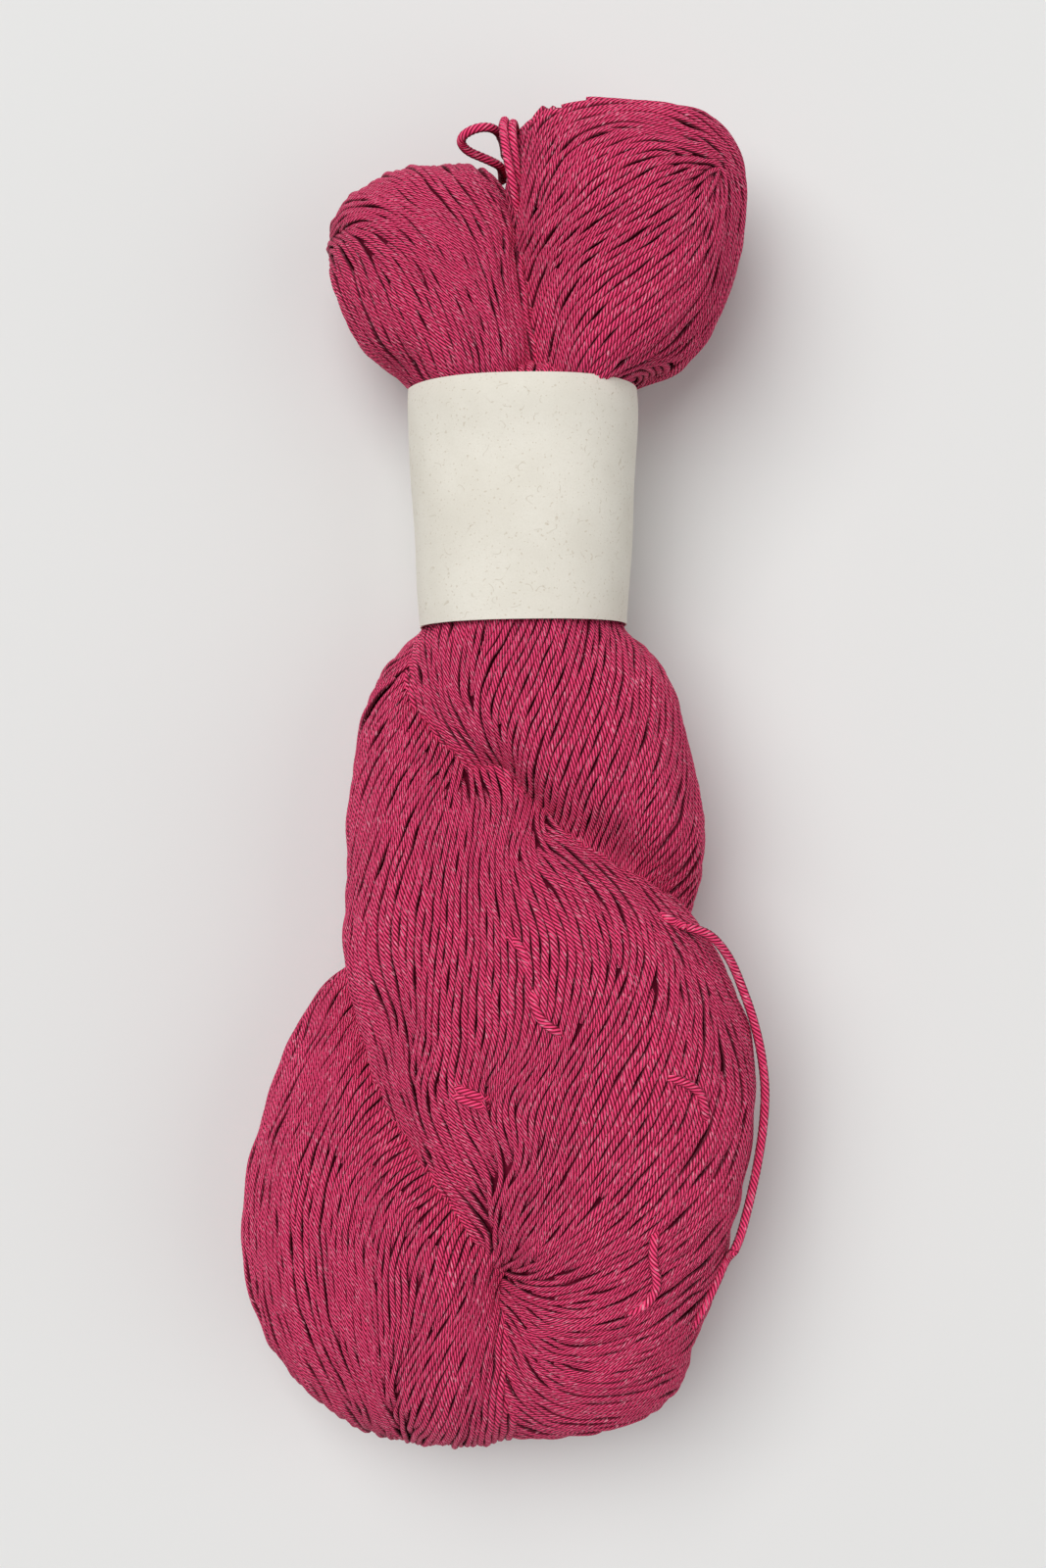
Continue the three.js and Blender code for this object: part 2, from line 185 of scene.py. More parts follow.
UNDER_BUNDLE_LAY = (
    ((-15.1, 25.4), (-14.6, 19.1), (-13.2, 14.3), (-10.3, 9.5), (-6, 5.2), (-2.1, 0.9), (1.3, -3.9),
     (5, -9)),
    ((-11.3, 25.9), (-11.3, 20.1), (-10.3, 15.3), (-8.4, 10.5), (-5, 6.2), (-2.1, 1.8)),
    ((-8.4, 26.3), (-8.4, 19.1), (-7.4, 12.9), (-5, 8.6), (-2, 4)),
    ((-5.5, 26.3), (-6, 19.1), (-6, 14.3), (-4.5, 9.5), (-1.6, 4.6)),
    ((2.2, 27.3), (-2.6, 21.5), (-4, 18.2), (-4.8, 12.9), (-3.2, 8.1), (0, 2.5)),
    ((4.6, 26.3), (-0.2, 19.6), (-2.6, 14.8), (-3, 11)),
    ((8.9, 25.9), (5.6, 20.1), (1.7, 13.4), (-0.8, 8), (-0.4, 4), (1.5, -0.5)),
    ((12.3, 26.8), (9.4, 19.1), (6.1, 11.4), (2.9, 4.7), (2, -0.5), (3, -5)),
    ((15.2, 26.3), (12.3, 18.2), (9.4, 10.5), (6.1, 2.8), (4.2, -3.3), (5.4, -8.4)),
    ((17.6, 24.9), (15.2, 17.2), (12.3, 8.6), (9.4, 0.9), (7, -5.9), (7.5, -10)),
    ((20, 23.9), (19.5, 17.2), (17.1, 8.6), (14.7, 1.8), (11.8, -4.9), (9.9, -11)),
    ((22.4, 25.9), (23.4, 19.1), (21.9, 10.5), (20, 2.8), (16.6, -4.9), (13.8, -12.1)),
    ((24.8, 26.3), (26.7, 20.1), (26.3, 11.4), (24.3, 2.8), (21.4, -4.9), (18.6, -11.2), (17.1, -15)),
    ((26.7, 25.4), (29.6, 20.1), (30.1, 11.4), (28.7, 2.8), (26.3, -4.9), (22.9, -12.1), (20.5, -17.4)),
    ((31, 19.1), (32.5, 11.4), (32.5, 2.8), (31, -4.9), (27.7, -12.6), (24.3, -18.8)),
    ((33.5, 9.5), (34.9, 1.8), (34.9, -4.9), (33, -11.6), (29.6, -17.4), (25.8, -21)),
    ((36.3, -2), (36.8, -7.8), (35.9, -13.6), (32.5, -18.4), (28.2, -23)),
    ((37.1, -12.1), (36.3, -18.4), (33, -22.7), (30.1, -25.4)),
    ((36.8, -23.2), (34.9, -26.5), (31, -28)),
    ((-29.8, -35.7), (-34.4, -40.3), (-37.1, -46.3), (-40.4, -54.2), (-43.7, -62.2), (-45.7, -70.1),
     (-47, -78.1), (-47.7, -84.7), (-46.3, -91.3), (-44.3, -97.9)),
    ((-28.5, -43), (-32.5, -47.6), (-37.1, -54.9), (-41, -63.5), (-43.7, -71.5), (-45, -80.7),
     (-45, -88.7), (-43, -96.6), (-40.4, -104.6)),
    ((-25.2, -46.3), (-29.1, -50.3), (-33.8, -56.2), (-37.1, -63.5), (-40.4, -71.5), (-42.4, -80.7),
     (-42.4, -90), (-40.4, -99.3), (-37.1, -108.5)),
    ((-23.2, -50.3), (-27.2, -54.2), (-31.1, -60.9), (-34.4, -67.5), (-37.7, -75.4), (-39.1, -84.7),
     (-38.4, -94), (-36.4, -103.2), (-32.5, -112.5)),
    ((-22.5, -56.2), (-27.2, -60.2), (-31.1, -66.8), (-34.4, -74.1), (-35.8, -82.7), (-35.1, -92),
     (-33.8, -101.3), (-30.5, -111.2), (-27.2, -118.5)),
    ((-20.6, -62.2), (-25.2, -65.5), (-29.8, -71.5), (-32.5, -79.4), (-32.5, -87.3), (-31.8, -96.6),
     (-29.8, -105.9), (-26.5, -115.2)),
    ((-19.2, -66.2), (-23.9, -70.1), (-27.8, -76.8), (-29.8, -84.7), (-29.1, -94), (-27.8, -103.2),
     (-25.8, -112.5), (-22.5, -120.5)),
    ((-16.6, -70.1), (-21.2, -74.1), (-25.2, -80.7), (-26.5, -89.3), (-25.8, -97.9), (-25.2, -107.2),
     (-23.2, -115.8), (-20.6, -121.1)),
    ((-13.3, -74.1), (-17.9, -78.1), (-21.2, -84.7), (-22.5, -93.3), (-22.5, -101.9), (-21.9, -110.5),
     (-21.2, -117.2)),
    ((-11.3, -76.8), (-15.3, -80.7), (-17.9, -87.3), (-19.2, -95.3), (-19.2, -103.9), (-19.9, -112.5),
     (-19.2, -119.1)),
    ((-9.3, -79.4), (-12.6, -83.4), (-14.6, -90), (-15.9, -97.9), (-16.4, -104.6), (-18, -110)),
    ((-6, -83.4), (-8.4, -87.3), (-10.4, -92.6), (-11.4, -97.9), (-13.4, -102.6), (-16.5, -107.9),
     (-19.2, -113.2)),
    ((-3.4, -89), (-4.4, -94), (-7, -99), (-11, -103.4), (-14.8, -108.5), (-18, -113.8), (-20.6, -118.5)),
    ((-2.7, -95), (-4.4, -99), (-7, -103.9), (-9.4, -109.2), (-12.4, -115.2), (-15.9, -121.1)),
    ((-2, -99), (-4, -107.2), (-6, -113.8), (-8.7, -121.5)),
    ((-1, -100.6), (-1.4, -107.2), (-2, -115.2), (-3.4, -121.8)),
    ((0.5, -100), (0.3, -108), (0, -116), (-0.4, -122.5)),
)
OVER_BUNDLE_LAY = (
    ((-15, 22), (-18.5, 20), (-22.5, 16.6)),
    ((-15.6, 18), (-19.4, 15), (-23.5, 10), (-26, 4)),
    ((-14.6, 16.7), (-17, 12.9), (-19.9, 8.6), (-23.3, 3.3), (-26.2, -2), (-27.6, -8)),
    ((-14.1, 14.3), (-15.4, 9.5), (-18, 4.7), (-21.3, -1.1), (-24.2, -7.8), (-26.6, -17.4),
     (-28.1, -26.5), (-28.1, -34), (-26.5, -39.7), (-23.9, -46.3), (-22.3, -52.9), (-20.2, -59.5),
     (-17.5, -64.8), (-14.3, -70.8), (-10.3, -75.4), (-6.7, -80.1), (-3.4, -84.7)),
    ((-11.7, 10), (-12.6, 7), (-15.1, 2.8), (-18.5, -2), (-21.3, -7.8), (-23.3, -14.5), (-25.2, -21.7),
     (-26.2, -28.9), (-25.4, -36), (-22.7, -44.3), (-20.6, -50.9), (-18.6, -56.6)),
    ((-8.8, 5.2), (-10.3, 1.8), (-12.7, -1.1), (-16.5, -5.9), (-19.4, -12.1), (-21.3, -19.3),
     (-22.3, -26.5), (-22.6, -33.8), (-22, -38.3), (-20.3, -45.6), (-18.6, -52)),
    ((-9.3, 0.9), (-9.6, -2), (-12.7, -6.3), (-15.6, -12.6), (-17.5, -19.3), (-18.9, -26.5),
     (-19.4, -34.7), (-18.4, -42)),
    ((-7.6, 1.8), (-7.4, -2), (-7.8, -5.9), (-9.8, -11.2), (-10.8, -17.4), (-11.9, -24.1),
     (-13, -33.8), (-14, -40), (-15.3, -48.9), (-16.3, -56.2)),
    ((-6, 1.8), (-5, -2.5), (-5.5, -7.8), (-6.4, -14.5), (-7.4, -21.7), (-7.9, -28.9), (-8.4, -36.2),
     (-10.2, -44.3), (-12.4, -50.9), (-13.7, -56.2), (-13.7, -62.8), (-12, -68.8), (-8.7, -74.1),
     (-5.4, -79.4), (-3, -84.4)),
    ((-4, 1), (-2.6, -2.5), (-2.6, -7.8), (-3.6, -14.5), (-4, -21.7), (-4.5, -28.9), (-4.7, -36.2),
     (-6.4, -46.3), (-8.5, -54.2), (-9.3, -60.9), (-8, -67.5), (-5.6, -72.8), (-3.2, -79)),
    ((-2.1, -1), (0.3, -4.4), (0.6, -7.8), (-0.2, -12.1), (-0.7, -19.3), (-1.2, -26.5), (-1.6, -33.8),
     (-2.7, -41), (-3.6, -47.6), (-5.4, -55.6), (-6, -62), (-5, -68), (-3, -74)),
    ((3.6, -9.6), (2, -11.6), (1.3, -14.5), (1.7, -19.3), (2.7, -26.5), (3.7, -33.8), (3.2, -38.3),
     (2.8, -44), (1.8, -50.3), (-1.4, -56.2), (-3, -62.2), (-2.6, -68.2), (-1, -73)),
    ((4.6, -10.2), (2.9, -13.1), (3.4, -16), (5.6, -19.8), (7, -25.1), (7.9, -31.3), (7.4, -37.7),
     (5.9, -44.3), (3.2, -50.3), (0.3, -56.9), (-0.8, -62.8), (0, -69), (0.8, -73.4)),
    ((5.4, -11.6), (4.4, -13.6), (5.8, -15.4), (8.7, -18), (10.9, -22), (11.6, -27.5), (11.4, -33.8),
     (10.6, -39.5), (8.9, -46.3), (5, -52.9), (2.2, -58.9), (1.5, -64.2), (2.6, -69.5), (1.4, -74)),
    ((7.2, -12.2), (11.2, -17), (14.2, -22.2), (15.7, -28), (16, -33.8), (14.6, -41), (11.6, -49),
     (8.5, -56.9), (5.9, -62.2), (5.9, -66.2), (4.9, -71.5), (0.6, -76.1), (-1.9, -80.1), (-2.6, -84)),
    ((8.5, -12.2), (12.6, -14.6), (15.8, -17.8), (18.4, -22.2), (19.9, -28), (20.4, -34.4),
     (18, -42.3), (13.8, -50.3), (10.4, -57), (8.4, -62.4), (7.6, -67), (6, -72), (2, -77.6)),
    ((12.3, -13.4), (17.1, -15.8), (20.5, -18.6), (22.6, -22.7), (23.6, -28.9), (23.5, -36.2),
     (20.6, -43.5), (16.5, -51.3), (12.4, -59), (9.6, -65.6), (7, -71.2), (3, -76.4), (-0.3, -80.6),
     (-1.8, -85)),
    ((21, -18.6), (24.6, -22.4), (27, -26.6), (27.9, -31.8), (27, -38.2), (23.4, -45.3), (18.9, -53.3),
     (13.8, -61.2), (9.8, -67.8), (6.4, -73), (2.6, -78), (-0.2, -83.4)),
    ((26.7, -23.2), (29.4, -26.4), (31.3, -30.2), (32, -36), (31.4, -44), (28.6, -51.6), (23.6, -59.6),
     (18.4, -66.8), (13.2, -73.4), (8, -79.7), (3.2, -85.7), (0.6, -90.2)),
    ((31, -27), (34.6, -31.6), (36.3, -36.6), (37.6, -43), (37.6, -51.6), (35, -60.9), (30.6, -68.8),
     (24.6, -76), (18.4, -82), (12, -87.2), (6.8, -90.8), (2.6, -92.6)),
    ((33.5, -28.2), (37.8, -32.8), (40, -38.3), (43.2, -44.3), (45.2, -50.9), (45.2, -59.5),
     (42.4, -68.8), (38.4, -76.8), (33, -83.4), (26.4, -89), (18.4, -93), (10.5, -95.6), (5.2, -96.4),
     (1.9, -95.4)),
    ((48.2, -56.2), (48.2, -65.5), (45.5, -74.1), (41.6, -82.1), (35.6, -88), (29, -92.6), (20.4, -97),
     (12.5, -98.9), (6.5, -99.1), (2.6, -97.4)),
    ((46.4, -80), (43.6, -85.7), (38.3, -91.2), (30.3, -95.8), (21.1, -99.9), (13.2, -101.1),
     (6.5, -100.5), (1.9, -98.4)),
    ((42.6, -92), (35.6, -97.2), (27, -101), (17.1, -103.2), (9.2, -103), (3.9, -100.8), (1.3, -98.4)),
    ((40, -98), (33, -102.8), (23.7, -105.4), (14.5, -105.9), (7.9, -104.6), (3.2, -101.6)),
    ((36.9, -104.6), (29, -107.6), (19.8, -108.2), (11.8, -107.4), (6.5, -105), (2.6, -101.4)),
    ((35, -108.6), (27, -110.8), (17.1, -110.8), (9.8, -109), (4.6, -105.2), (1.9, -101.6)),
    ((33, -113), (25, -114), (15.8, -113.4), (8.5, -110.9), (3.9, -107), (1.3, -102.6)),
    ((27.7, -116.4), (17.1, -116.7), (9.8, -114.7), (4.6, -110.8), (1.9, -106.2), (0.6, -102)),
    ((21.1, -119.2), (13.2, -119.4), (6.5, -117.4), (2.6, -113.4), (0.9, -108.5), (0.3, -103)),
    ((16, -122), (8, -121.5), (3, -118.8), (0.8, -114), (0, -108.5)),
    ((7.9, -123.5), (2.6, -122.6), (0.2, -119.5)),
)
NECK_LAY = (
    ((-14, 84), (-16, 74), (-16, 50), (-14, 22)),
    ((4, 84), (4, 50), (4, 22)),
    ((22, 84), (24, 74), (24, 50), (21, 22)),
)

BUNDLES = {
    "left_loop": (LEFT_LOOP, LEFT_LOOP_LAY),
    "right_loop": (RIGHT_LOOP, RIGHT_LOOP_LAY),
    "under": (UNDER_BUNDLE, UNDER_BUNDLE_LAY),
    "over": (OVER_BUNDLE, OVER_BUNDLE_LAY),
    "neck": (NECK, NECK_LAY),
}

# The small loop that stands out between the loop ends, and the strand that
# stands off the right side: points of their routes, in millimetres.
LOOSE_LOOP = (
    (-0.2, 118.2, 13.5),
    (-0.2, 118.2, 18.5),
    (-0.6, 118.3, 23.0),
    (-2.2, 118.6, 25.4),
    (-4.3, 119.2, 26.5),
    (-6.0, 119.7, 27.4),
    (-7.3, 120.3, 28.6),
    (-7.9, 121.0, 30.2),
    (-7.4, 121.7, 31.8),
    (-5.9, 122.4, 32.8),
    (-4.0, 122.9, 33.0),
    (-2.2, 123.1, 32.0),
    (-0.9, 123.2, 29.0),
    (-0.2, 123.2, 24.5),
    (0.2, 123.0, 19.5),
    (0.3, 122.9, 14.5),
)
LOOSE_STRAND = (
    (34.2, -28.4, 43.2),
    (36.4, -29.0, 42.6),
    (38.8, -30.2, 41.2),
    (41.2, -32.6, 38.9),
    (43.4, -36.0, 36.4),
    (45.4, -40.5, 34.2),
    (47.6, -46.4, 32.2),
    (49.3, -53.0, 30.8),
    (50.2, -60.0, 29.8),
    (50.0, -67.0, 29.2),
    (49.0, -74.0, 29.2),
    (47.6, -80.6, 29.6),
    (46.0, -86.2, 31.0),
    (45.0, -88.6, 32.5),
    (43.9, -90.3, 34.5),
)

# Two strands that run down the groove between the loop ends, in front of the
# small loop: points of their routes, in millimetres.
GROOVE_STRANDS = (
    (
        (-0.4, 124.0, 22.0),
        (0.0, 124.9, 27.0),
        (0.4, 124.6, 31.5),
        (0.2, 122.6, 34.5),
        (0.5, 118.8, 37.0),
        (1.1, 115.0, 38.5),
        (1.7, 112.0, 38.5),
        (2.3, 109.0, 37.5),
        (2.9, 106.0, 35.5),
        (3.4, 103.0, 32.0),
    ),
    (
        (2.6, 122.6, 24.0),
        (2.3, 124.0, 29.0),
        (2.0, 123.6, 33.0),
        (1.9, 121.4, 35.5),
        (2.2, 118.0, 36.5),
        (2.7, 113.4, 36.5),
        (3.0, 109.0, 35.0),
        (3.3, 105.0, 31.0),
    ),
)

# Short stretches of yarn that lie across the others, and what leads on from the
# ends of the loose strand: x, y and how high the middle lies over the skin, less
# CROSSING_SINK. None stands for the height of the loose strand's own end. The skin
# is looked for downwards from ABOVE_ALL.
ABOVE_ALL = 100
CROSSING_SINK = 0.75
CROSSING_STRANDS = (
    ((-9.0, -57.0, -1.6), (-7.3, -57.7, 0.1), (-5.6, -58.3, 0.4), (-4.1, -58.9, 0.0), (-2.6, -59.4, -1.6)),
    ((-9.2, -58.6, -1.6), (-7.6, -59.3, 0.1), (-5.8, -60.0, 0.4), (-4.1, -60.6, 0.0), (-2.6, -61.1, -1.6)),
    ((5.2, -39.0, -1.4), (5.6, -40.8, -0.2), (6.2, -42.6, 0.3), (7.2, -44.6, 0.5), (8.7, -45.9, 0.4),
     (10.0, -46.8, -0.2), (11.2, -47.8, -1.6)),
    ((0.2, -28.6, -1.4), (1.6, -29.8, 0.0), (3.2, -31.3, 0.2), (4.3, -33.5, 0.1), (4.8, -36.0, -0.4),
     (5.0, -38.6, -1.6)),
    ((29.2, -55.0, -1.6), (31.0, -55.6, 0.1), (33.2, -56.4, 0.4), (35.1, -57.5, 0.5), (36.6, -59.2, 0.4),
     (37.3, -61.7, 0.1), (37.6, -64.0, -1.4)),
    ((28.3, -83.0, -1.4), (27.9, -85.7, 0.0), (27.7, -88.1, 0.3), (27.9, -90.2, 0.5), (28.3, -92.2, 0.6),
     (28.4, -94.2, 0.6), (27.8, -96.0, 0.4), (26.6, -97.6, 0.2), (24.8, -98.9, -0.3), (22.8, -99.8, -1.4)),
    ((34.2, -28.4, None), (32.6, -27.8, 0.6), (31.0, -27.0, 0.0), (29.4, -26.2, -1.6)),
    ((43.9, -90.3, None), (42.6, -92.6, 0.5), (41.0, -95.4, 0.2), (39.4, -98.4, 0.0), (37.6, -101.6, -0.4),
     (35.8, -104.6, -1.6)),
)

# The camera looks straight down on the middle of the picture.
CAMERA_OVER = (3.9, -1.9)
CAMERA_HEIGHT = 447.0
CAMERA_LENS = 50.0
CAMERA_SENSOR = 36.0
LAY_READ_AT = 46.0

# The section of a bundle is a softly squared oval.
ROUNDNESS = 2.3
SKIN_STEP = 1.8
SKIN_SIDES = 96
EDGE_SPANS = 12

# The eye near the foot: middle, depth, spread and the height where it begins.
EYE_AT = (0.6, -95.5)
EYE_DEPTH = 4.0
EYE_SPREAD = (1.5, 2.6)
EYE_FLOOR = 18.0
EYE_RISE = 10.0

# Where a bundle sinks beside the edge of the one that lies over it: the edge as
# a line of points, how far it sinks there and how wide.
SUNK_BESIDE = {
    "under": (
        (((-1.0, -0.5), (4.5, -6.5), (9.5, -9.5), (18.5, -13.5), (25.0, -18.0), (33.0, -24.5)), 5.4, 3.0),
        (((-28.5, -38.0), (-25.8, -46.0), (-22.8, -56.0), (-17.5, -67.0), (-10.5, -77.0), (-5.0, -85.0)),
         4.0, 2.6),
    ),
    "over": (
        (((-16.0, 18.5), (-13.0, 11.0), (-9.6, 5.4), (-6.0, 1.4), (-2.4, -2.2)), 3.6, 2.4),
    ),
}

# How the lay is read off the tables, and carried from the upper side round to the
# underside: the least upward normal that counts as the upper side, and the passes.
LAY_SPANS = 4
LAY_SOFTNESS = 1.2
LAY_SEEN = 0.25
LAY_PASSES = 90

# Which way along the lay counts as ahead, and the decimals that places and headings
# are rounded to, so that the strands come out the same on every machine.
ONE_WAY = (0.31, -1.0, 0.17)
DECIMALS = 4

# How a strand is followed over a bundle. Lengths are in millimetres, and how near
# others may come is a share of the spacing.
STEP = 1.25
CORNER_SOFTNESS = 0.05
CROWDED = 0.36
SEED_ROOM = 0.78
SEED_ASIDE = 0.9
OWN_REACH = 6
SEEN_TO = 0.5
HIDDEN_AT = 2.6
NECK_SEEN_TO = -0.6
NECK_HIDDEN_AT = 1.0
JOIN_WITHIN = 4.5
JOIN_ALIGNED = 0.86
IN_BAND = 5.0
SHORTEST = 5
TURN_LIMIT = 0.5
STRAND_SIDES = 8
MOST_TRIANGLES = 190000

# How the strands spread out beside each other: how far a neighbour counts, and how
# much of the gap a strand moves in one pass.
NEIGHBOUR_REACH = 3.0
SPREAD_PASSES = 12
SHIFT_SHARE = 1 / 3
SHIFT_LIMIT = 0.25
ROOM_SOFTENED = 4

# How a strand settles: it lies a little under the skin at a height of its own,
# rises and falls along its run, sinks in the furrows, and dives where it ends in sight.
UNDER_SKIN = 0.18
HEIGHT_SPREAD = 0.2
RISE_AND_FALL = 0.34
RISE_WAVES = (11, 19, 33)
FURROW_WIDTH = 9.0
FURROW_DEPTH = 0.42
FURROW_SOFTENED = 14
FURROW_SEED = 40
END_DIVE = 0.85
END_DIVE_OVER = 2.6
SIDE_SWING = 0.24
SIDE_WAVES = (7, 11, 19)

# How thick a strand is: a share of the room between its neighbours, within limits
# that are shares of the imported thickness.
FILLED = 1.0
THINNEST = 0.74
THICKEST = 1.32
THICKNESS_SWING = 0.05
THICKNESS_WAVES = (9, 16)

# The body under the strands, dark with painted shade.
CORE_DEPTH = 1.8
CORE_STEP = 2.5
CORE_SIDES = 48

# Random waves: how far their lengths spread round the one asked for.
HILL_SPREAD = (0.75, 1.35)
WAVER_SPREAD = (0.8, 1.25)

# The lay wavers a little everywhere, and more where the upper bundle is ruffled.
BROAD_SWAY = 34
SMALL_SWAY = 17
SWAY_TURN = 0.085
RUFFLE_AT = (0.0, -62.0)
RUFFLE_SPREAD = 14.0
RUFFLE_TURN = 0.22

# The yarn itself: fine plies round the strand, and how far apart they lie along it.
# Loose yarn has its plies as relief, a share of its radius, and packed yarn as bump.
PLIES = 6
PLY_RISE = 0.95
LOOSE_SIDES = 30
LOOSE_SPANS = 14
CROSSING_SPANS = 7
LOOSE_RELIEF = 0.2
RELIEF_MIDDLE = 0.7
LOOSE_BUMP = 0.0001
PACKED_BUMP = 0.00026
LONGEST_START = 900

# Patterns of the yarn: how fast each changes along a strand and across it, its
# detail and its roughness.
DYE = (0.035, 0.4, 2.0, 0.5)
UNEVEN = (0.9, 0.8, 3.0, 0.6)
FIBRE = (1.6, 5.0, 2.0, 0.6)
SLUB = (0.75, 2.1, 0.0, 0.5)

# Where a pattern of the yarn begins and where it is full, and how strongly it tints. The ply ridges take a
# painted highlight, and the valleys between plies and the strands' flanks take painted shade.
DYE_LIMITS = (0.35, 0.65)
UNEVEN_LIMITS = (0.35, 0.7)
UNEVEN_SHARE = 0.5
# The ply ridges are lightened as a painted highlight.
RIDGE_HIGHLIGHT_LIMITS = (0.75, 1.0)
RIDGE_HIGHLIGHT_SHARE = 0.85
# The valleys between plies are darkened as painted shade.
VALLEY_SHADE_LIMITS = (0.25, 0.85)
# The strands' flanks and undersides are darkened as painted shade.
FLANK_SHADE_LIMITS = (0.11, 0.23)
FLANK_SHADE_SHARE = 0.9
FLANK_SHADE = 0.55
FLECK_LIMITS = (0.65, 0.75)
FLECK_SHARE = 0.75
FIBRE_HEIGHT = 0.3
FIBRE_LIMITS = (0.3, 0.7)
YARN_ROUGHNESS = (0.62, 0.8)

# The paper band: where it begins and ends, clear of the neck inside and outside, the
# turn where its end shows, how far it laps over, how crooked it sits and how it is dented.
BAND_FROM = 28.5
BAND_TO = 73.6
BAND_GRID = (180, 24)
BAND_INNER = 0.5
BAND_OUTER = 0.9
BAND_TAPER = 0.9
LAP_AT = math.radians(165)
LAP_TURN = math.radians(28)
BAND_SKEW = 0.35
BAND_PRESS = 0.5
DENT_DEPTH = 0.12
DENT_WIDTH = 22
DENT_REACH = 20
DENT_SEED = 5
NECK_SPANS = 40

# Soft lights: name, direction from the hank, size in metres and power in watts.
SOFT_LIGHTS = (
    ("window_left", (-0.34, 0.36, 1.0), 4.8, 322.0),
    ("fill_right", (1.0, -0.2, 0.9), 6.0, 88.0),
)
ROOM_LIGHT = 0.23


def spline(points, spans):
    """Catmull-Rom points through the given ones, with a number of spans after each."""
    p = np.array(points, float)
    p = np.vstack([2 * p[0] - p[1], p, 2 * p[-1] - p[-2]])
    out = []
    for i, count in enumerate(spans):
        a, b, c, d = p[i:i + 4]
        t = (np.arange(count) / count)[:, None]
        cubic = 3 * b - a - 3 * c + d
        square = 2 * a - 5 * b + 4 * c - d
        out.append(0.5 * (2 * b + (c - a) * t + square * t ** 2 + cubic * t ** 3))
    out.append(p[-2][None])
    return np.vstack(out)


def unit(vectors):
    """Vectors of length one along the given ones."""
    return vectors / np.maximum(np.linalg.norm(vectors, axis=-1, keepdims=True), 1e-12)


def hills(seed, wavelength, waves=12):
    """A smooth random function of place, mostly between -1 and 1."""
    rng = np.random.default_rng(seed)
    heading = unit(rng.normal(size=(waves, 3)))
    number = 2 * np.pi / (wavelength * rng.uniform(*HILL_SPREAD, waves))
    phase = rng.uniform(0, 2 * np.pi, waves)

    def value(points):
        return np.sin((points @ heading.T) * number + phase).sum(-1) / math.sqrt(waves)

    return value


def oval(angle):
    """The two parts of a point on a softly squared oval of size one."""
    return tuple(np.sign(part) * np.abs(part) ** (2 / ROUNDNESS) for part in (np.cos(angle), np.sin(angle)))


def run_along(points):
    """How far each point of a line lies along it."""
    return np.concatenate([[0], np.cumsum(np.linalg.norm(np.diff(points, axis=0), axis=1))])


def sunk(name, plan):
    """How far a bundle's upper side sinks at each place beside the edges that lie over it."""
    depth = np.zeros(plan.shape[:2])
    for edge, most, width in SUNK_BESIDE.get(name, ()):
        line = spline(edge, [EDGE_SPANS] * (len(edge) - 1))
        near = ((plan[:, :, None] - line) ** 2).sum(-1).min(-1)
        depth = np.maximum(depth, most * np.exp(-near / (2 * width ** 2)))
    return depth


def skin(name, rows, shift, step=SKIN_STEP, sides=SKIN_SIDES):
    """Points of a bundle's skin: sections along it, and sides around each."""
    rows = np.array(rows)
    left, right = rows[:, 0:2], rows[:, 2:4]
    run = np.linalg.norm(np.diff(left + right, axis=0), axis=1) / 2
    fine = spline(rows, [max(1, round(length / step)) for length in run])
    across, up = oval(2 * np.pi * np.arange(sides) / sides)
    middle = (fine[:, 0:2] + fine[:, 2:4]) / 2
    half = (fine[:, 2:4] - fine[:, 0:2]) / 2
    height = (fine[:, 4] + fine[:, 5]) / 2
    rise = (fine[:, 5] - fine[:, 4]) / 2
    plan = middle[:, None, :] + half[:, None, :] * across[None, :, None]
    z = height[:, None] + rise[:, None] * up[None, :]
    away = (plan - np.array(EYE_AT)) / np.array(EYE_SPREAD)
    high = np.clip((z - EYE_FLOOR) / EYE_RISE, 0, 1)
    z = z - EYE_DEPTH * high * np.exp(-(away ** 2).sum(-1) / 2) - high * sunk(name, plan)
    return np.concatenate([plan + shift, np.maximum(z, 0)[..., None]], axis=-1)


def outward_normals(points):
    """Normals of a skin's points, facing out."""
    along = np.gradient(points, axis=0)
    around = np.roll(points, -1, axis=1) - np.roll(points, 1, axis=1)
    normals = unit(np.cross(along, around))
    outward = points - points.mean(axis=1, keepdims=True)
    return normals * np.sign((normals * outward).sum(-1).mean())


def skin_quads(points, normals):
    """Faces of a skin, facing out, with each end closed by faces from the upper side to the lower."""
    n, m = points.shape[:2]
    i, j = np.meshgrid(np.arange(n - 1), np.arange(m), indexing="ij")
    k = (j + 1) % m
    quads = np.stack([i * m + j, i * m + k, (i + 1) * m + k, (i + 1) * m + j], -1).reshape(-1, 4)
    flat = points.reshape(-1, 3)
    a, b, d = (flat[quads[:, c]] for c in (0, 1, 3))
    facing = np.cross(b - a, d - a) * normals.reshape(-1, 3)[quads[:, 0]]
    lid = [[0, 1, m - 1]] + [[c, c + 1, m - c - 1, m - c] for c in range(1, m // 2 - 1)]
    lid.append([m // 2 - 1, m // 2, m // 2 + 1])
    faces = quads.tolist() + [face[::-1] for face in lid] + [[(n - 1) * m + c for c in face] for face in lid]
    return faces if facing.sum() > 0 else [face[::-1] for face in faces]


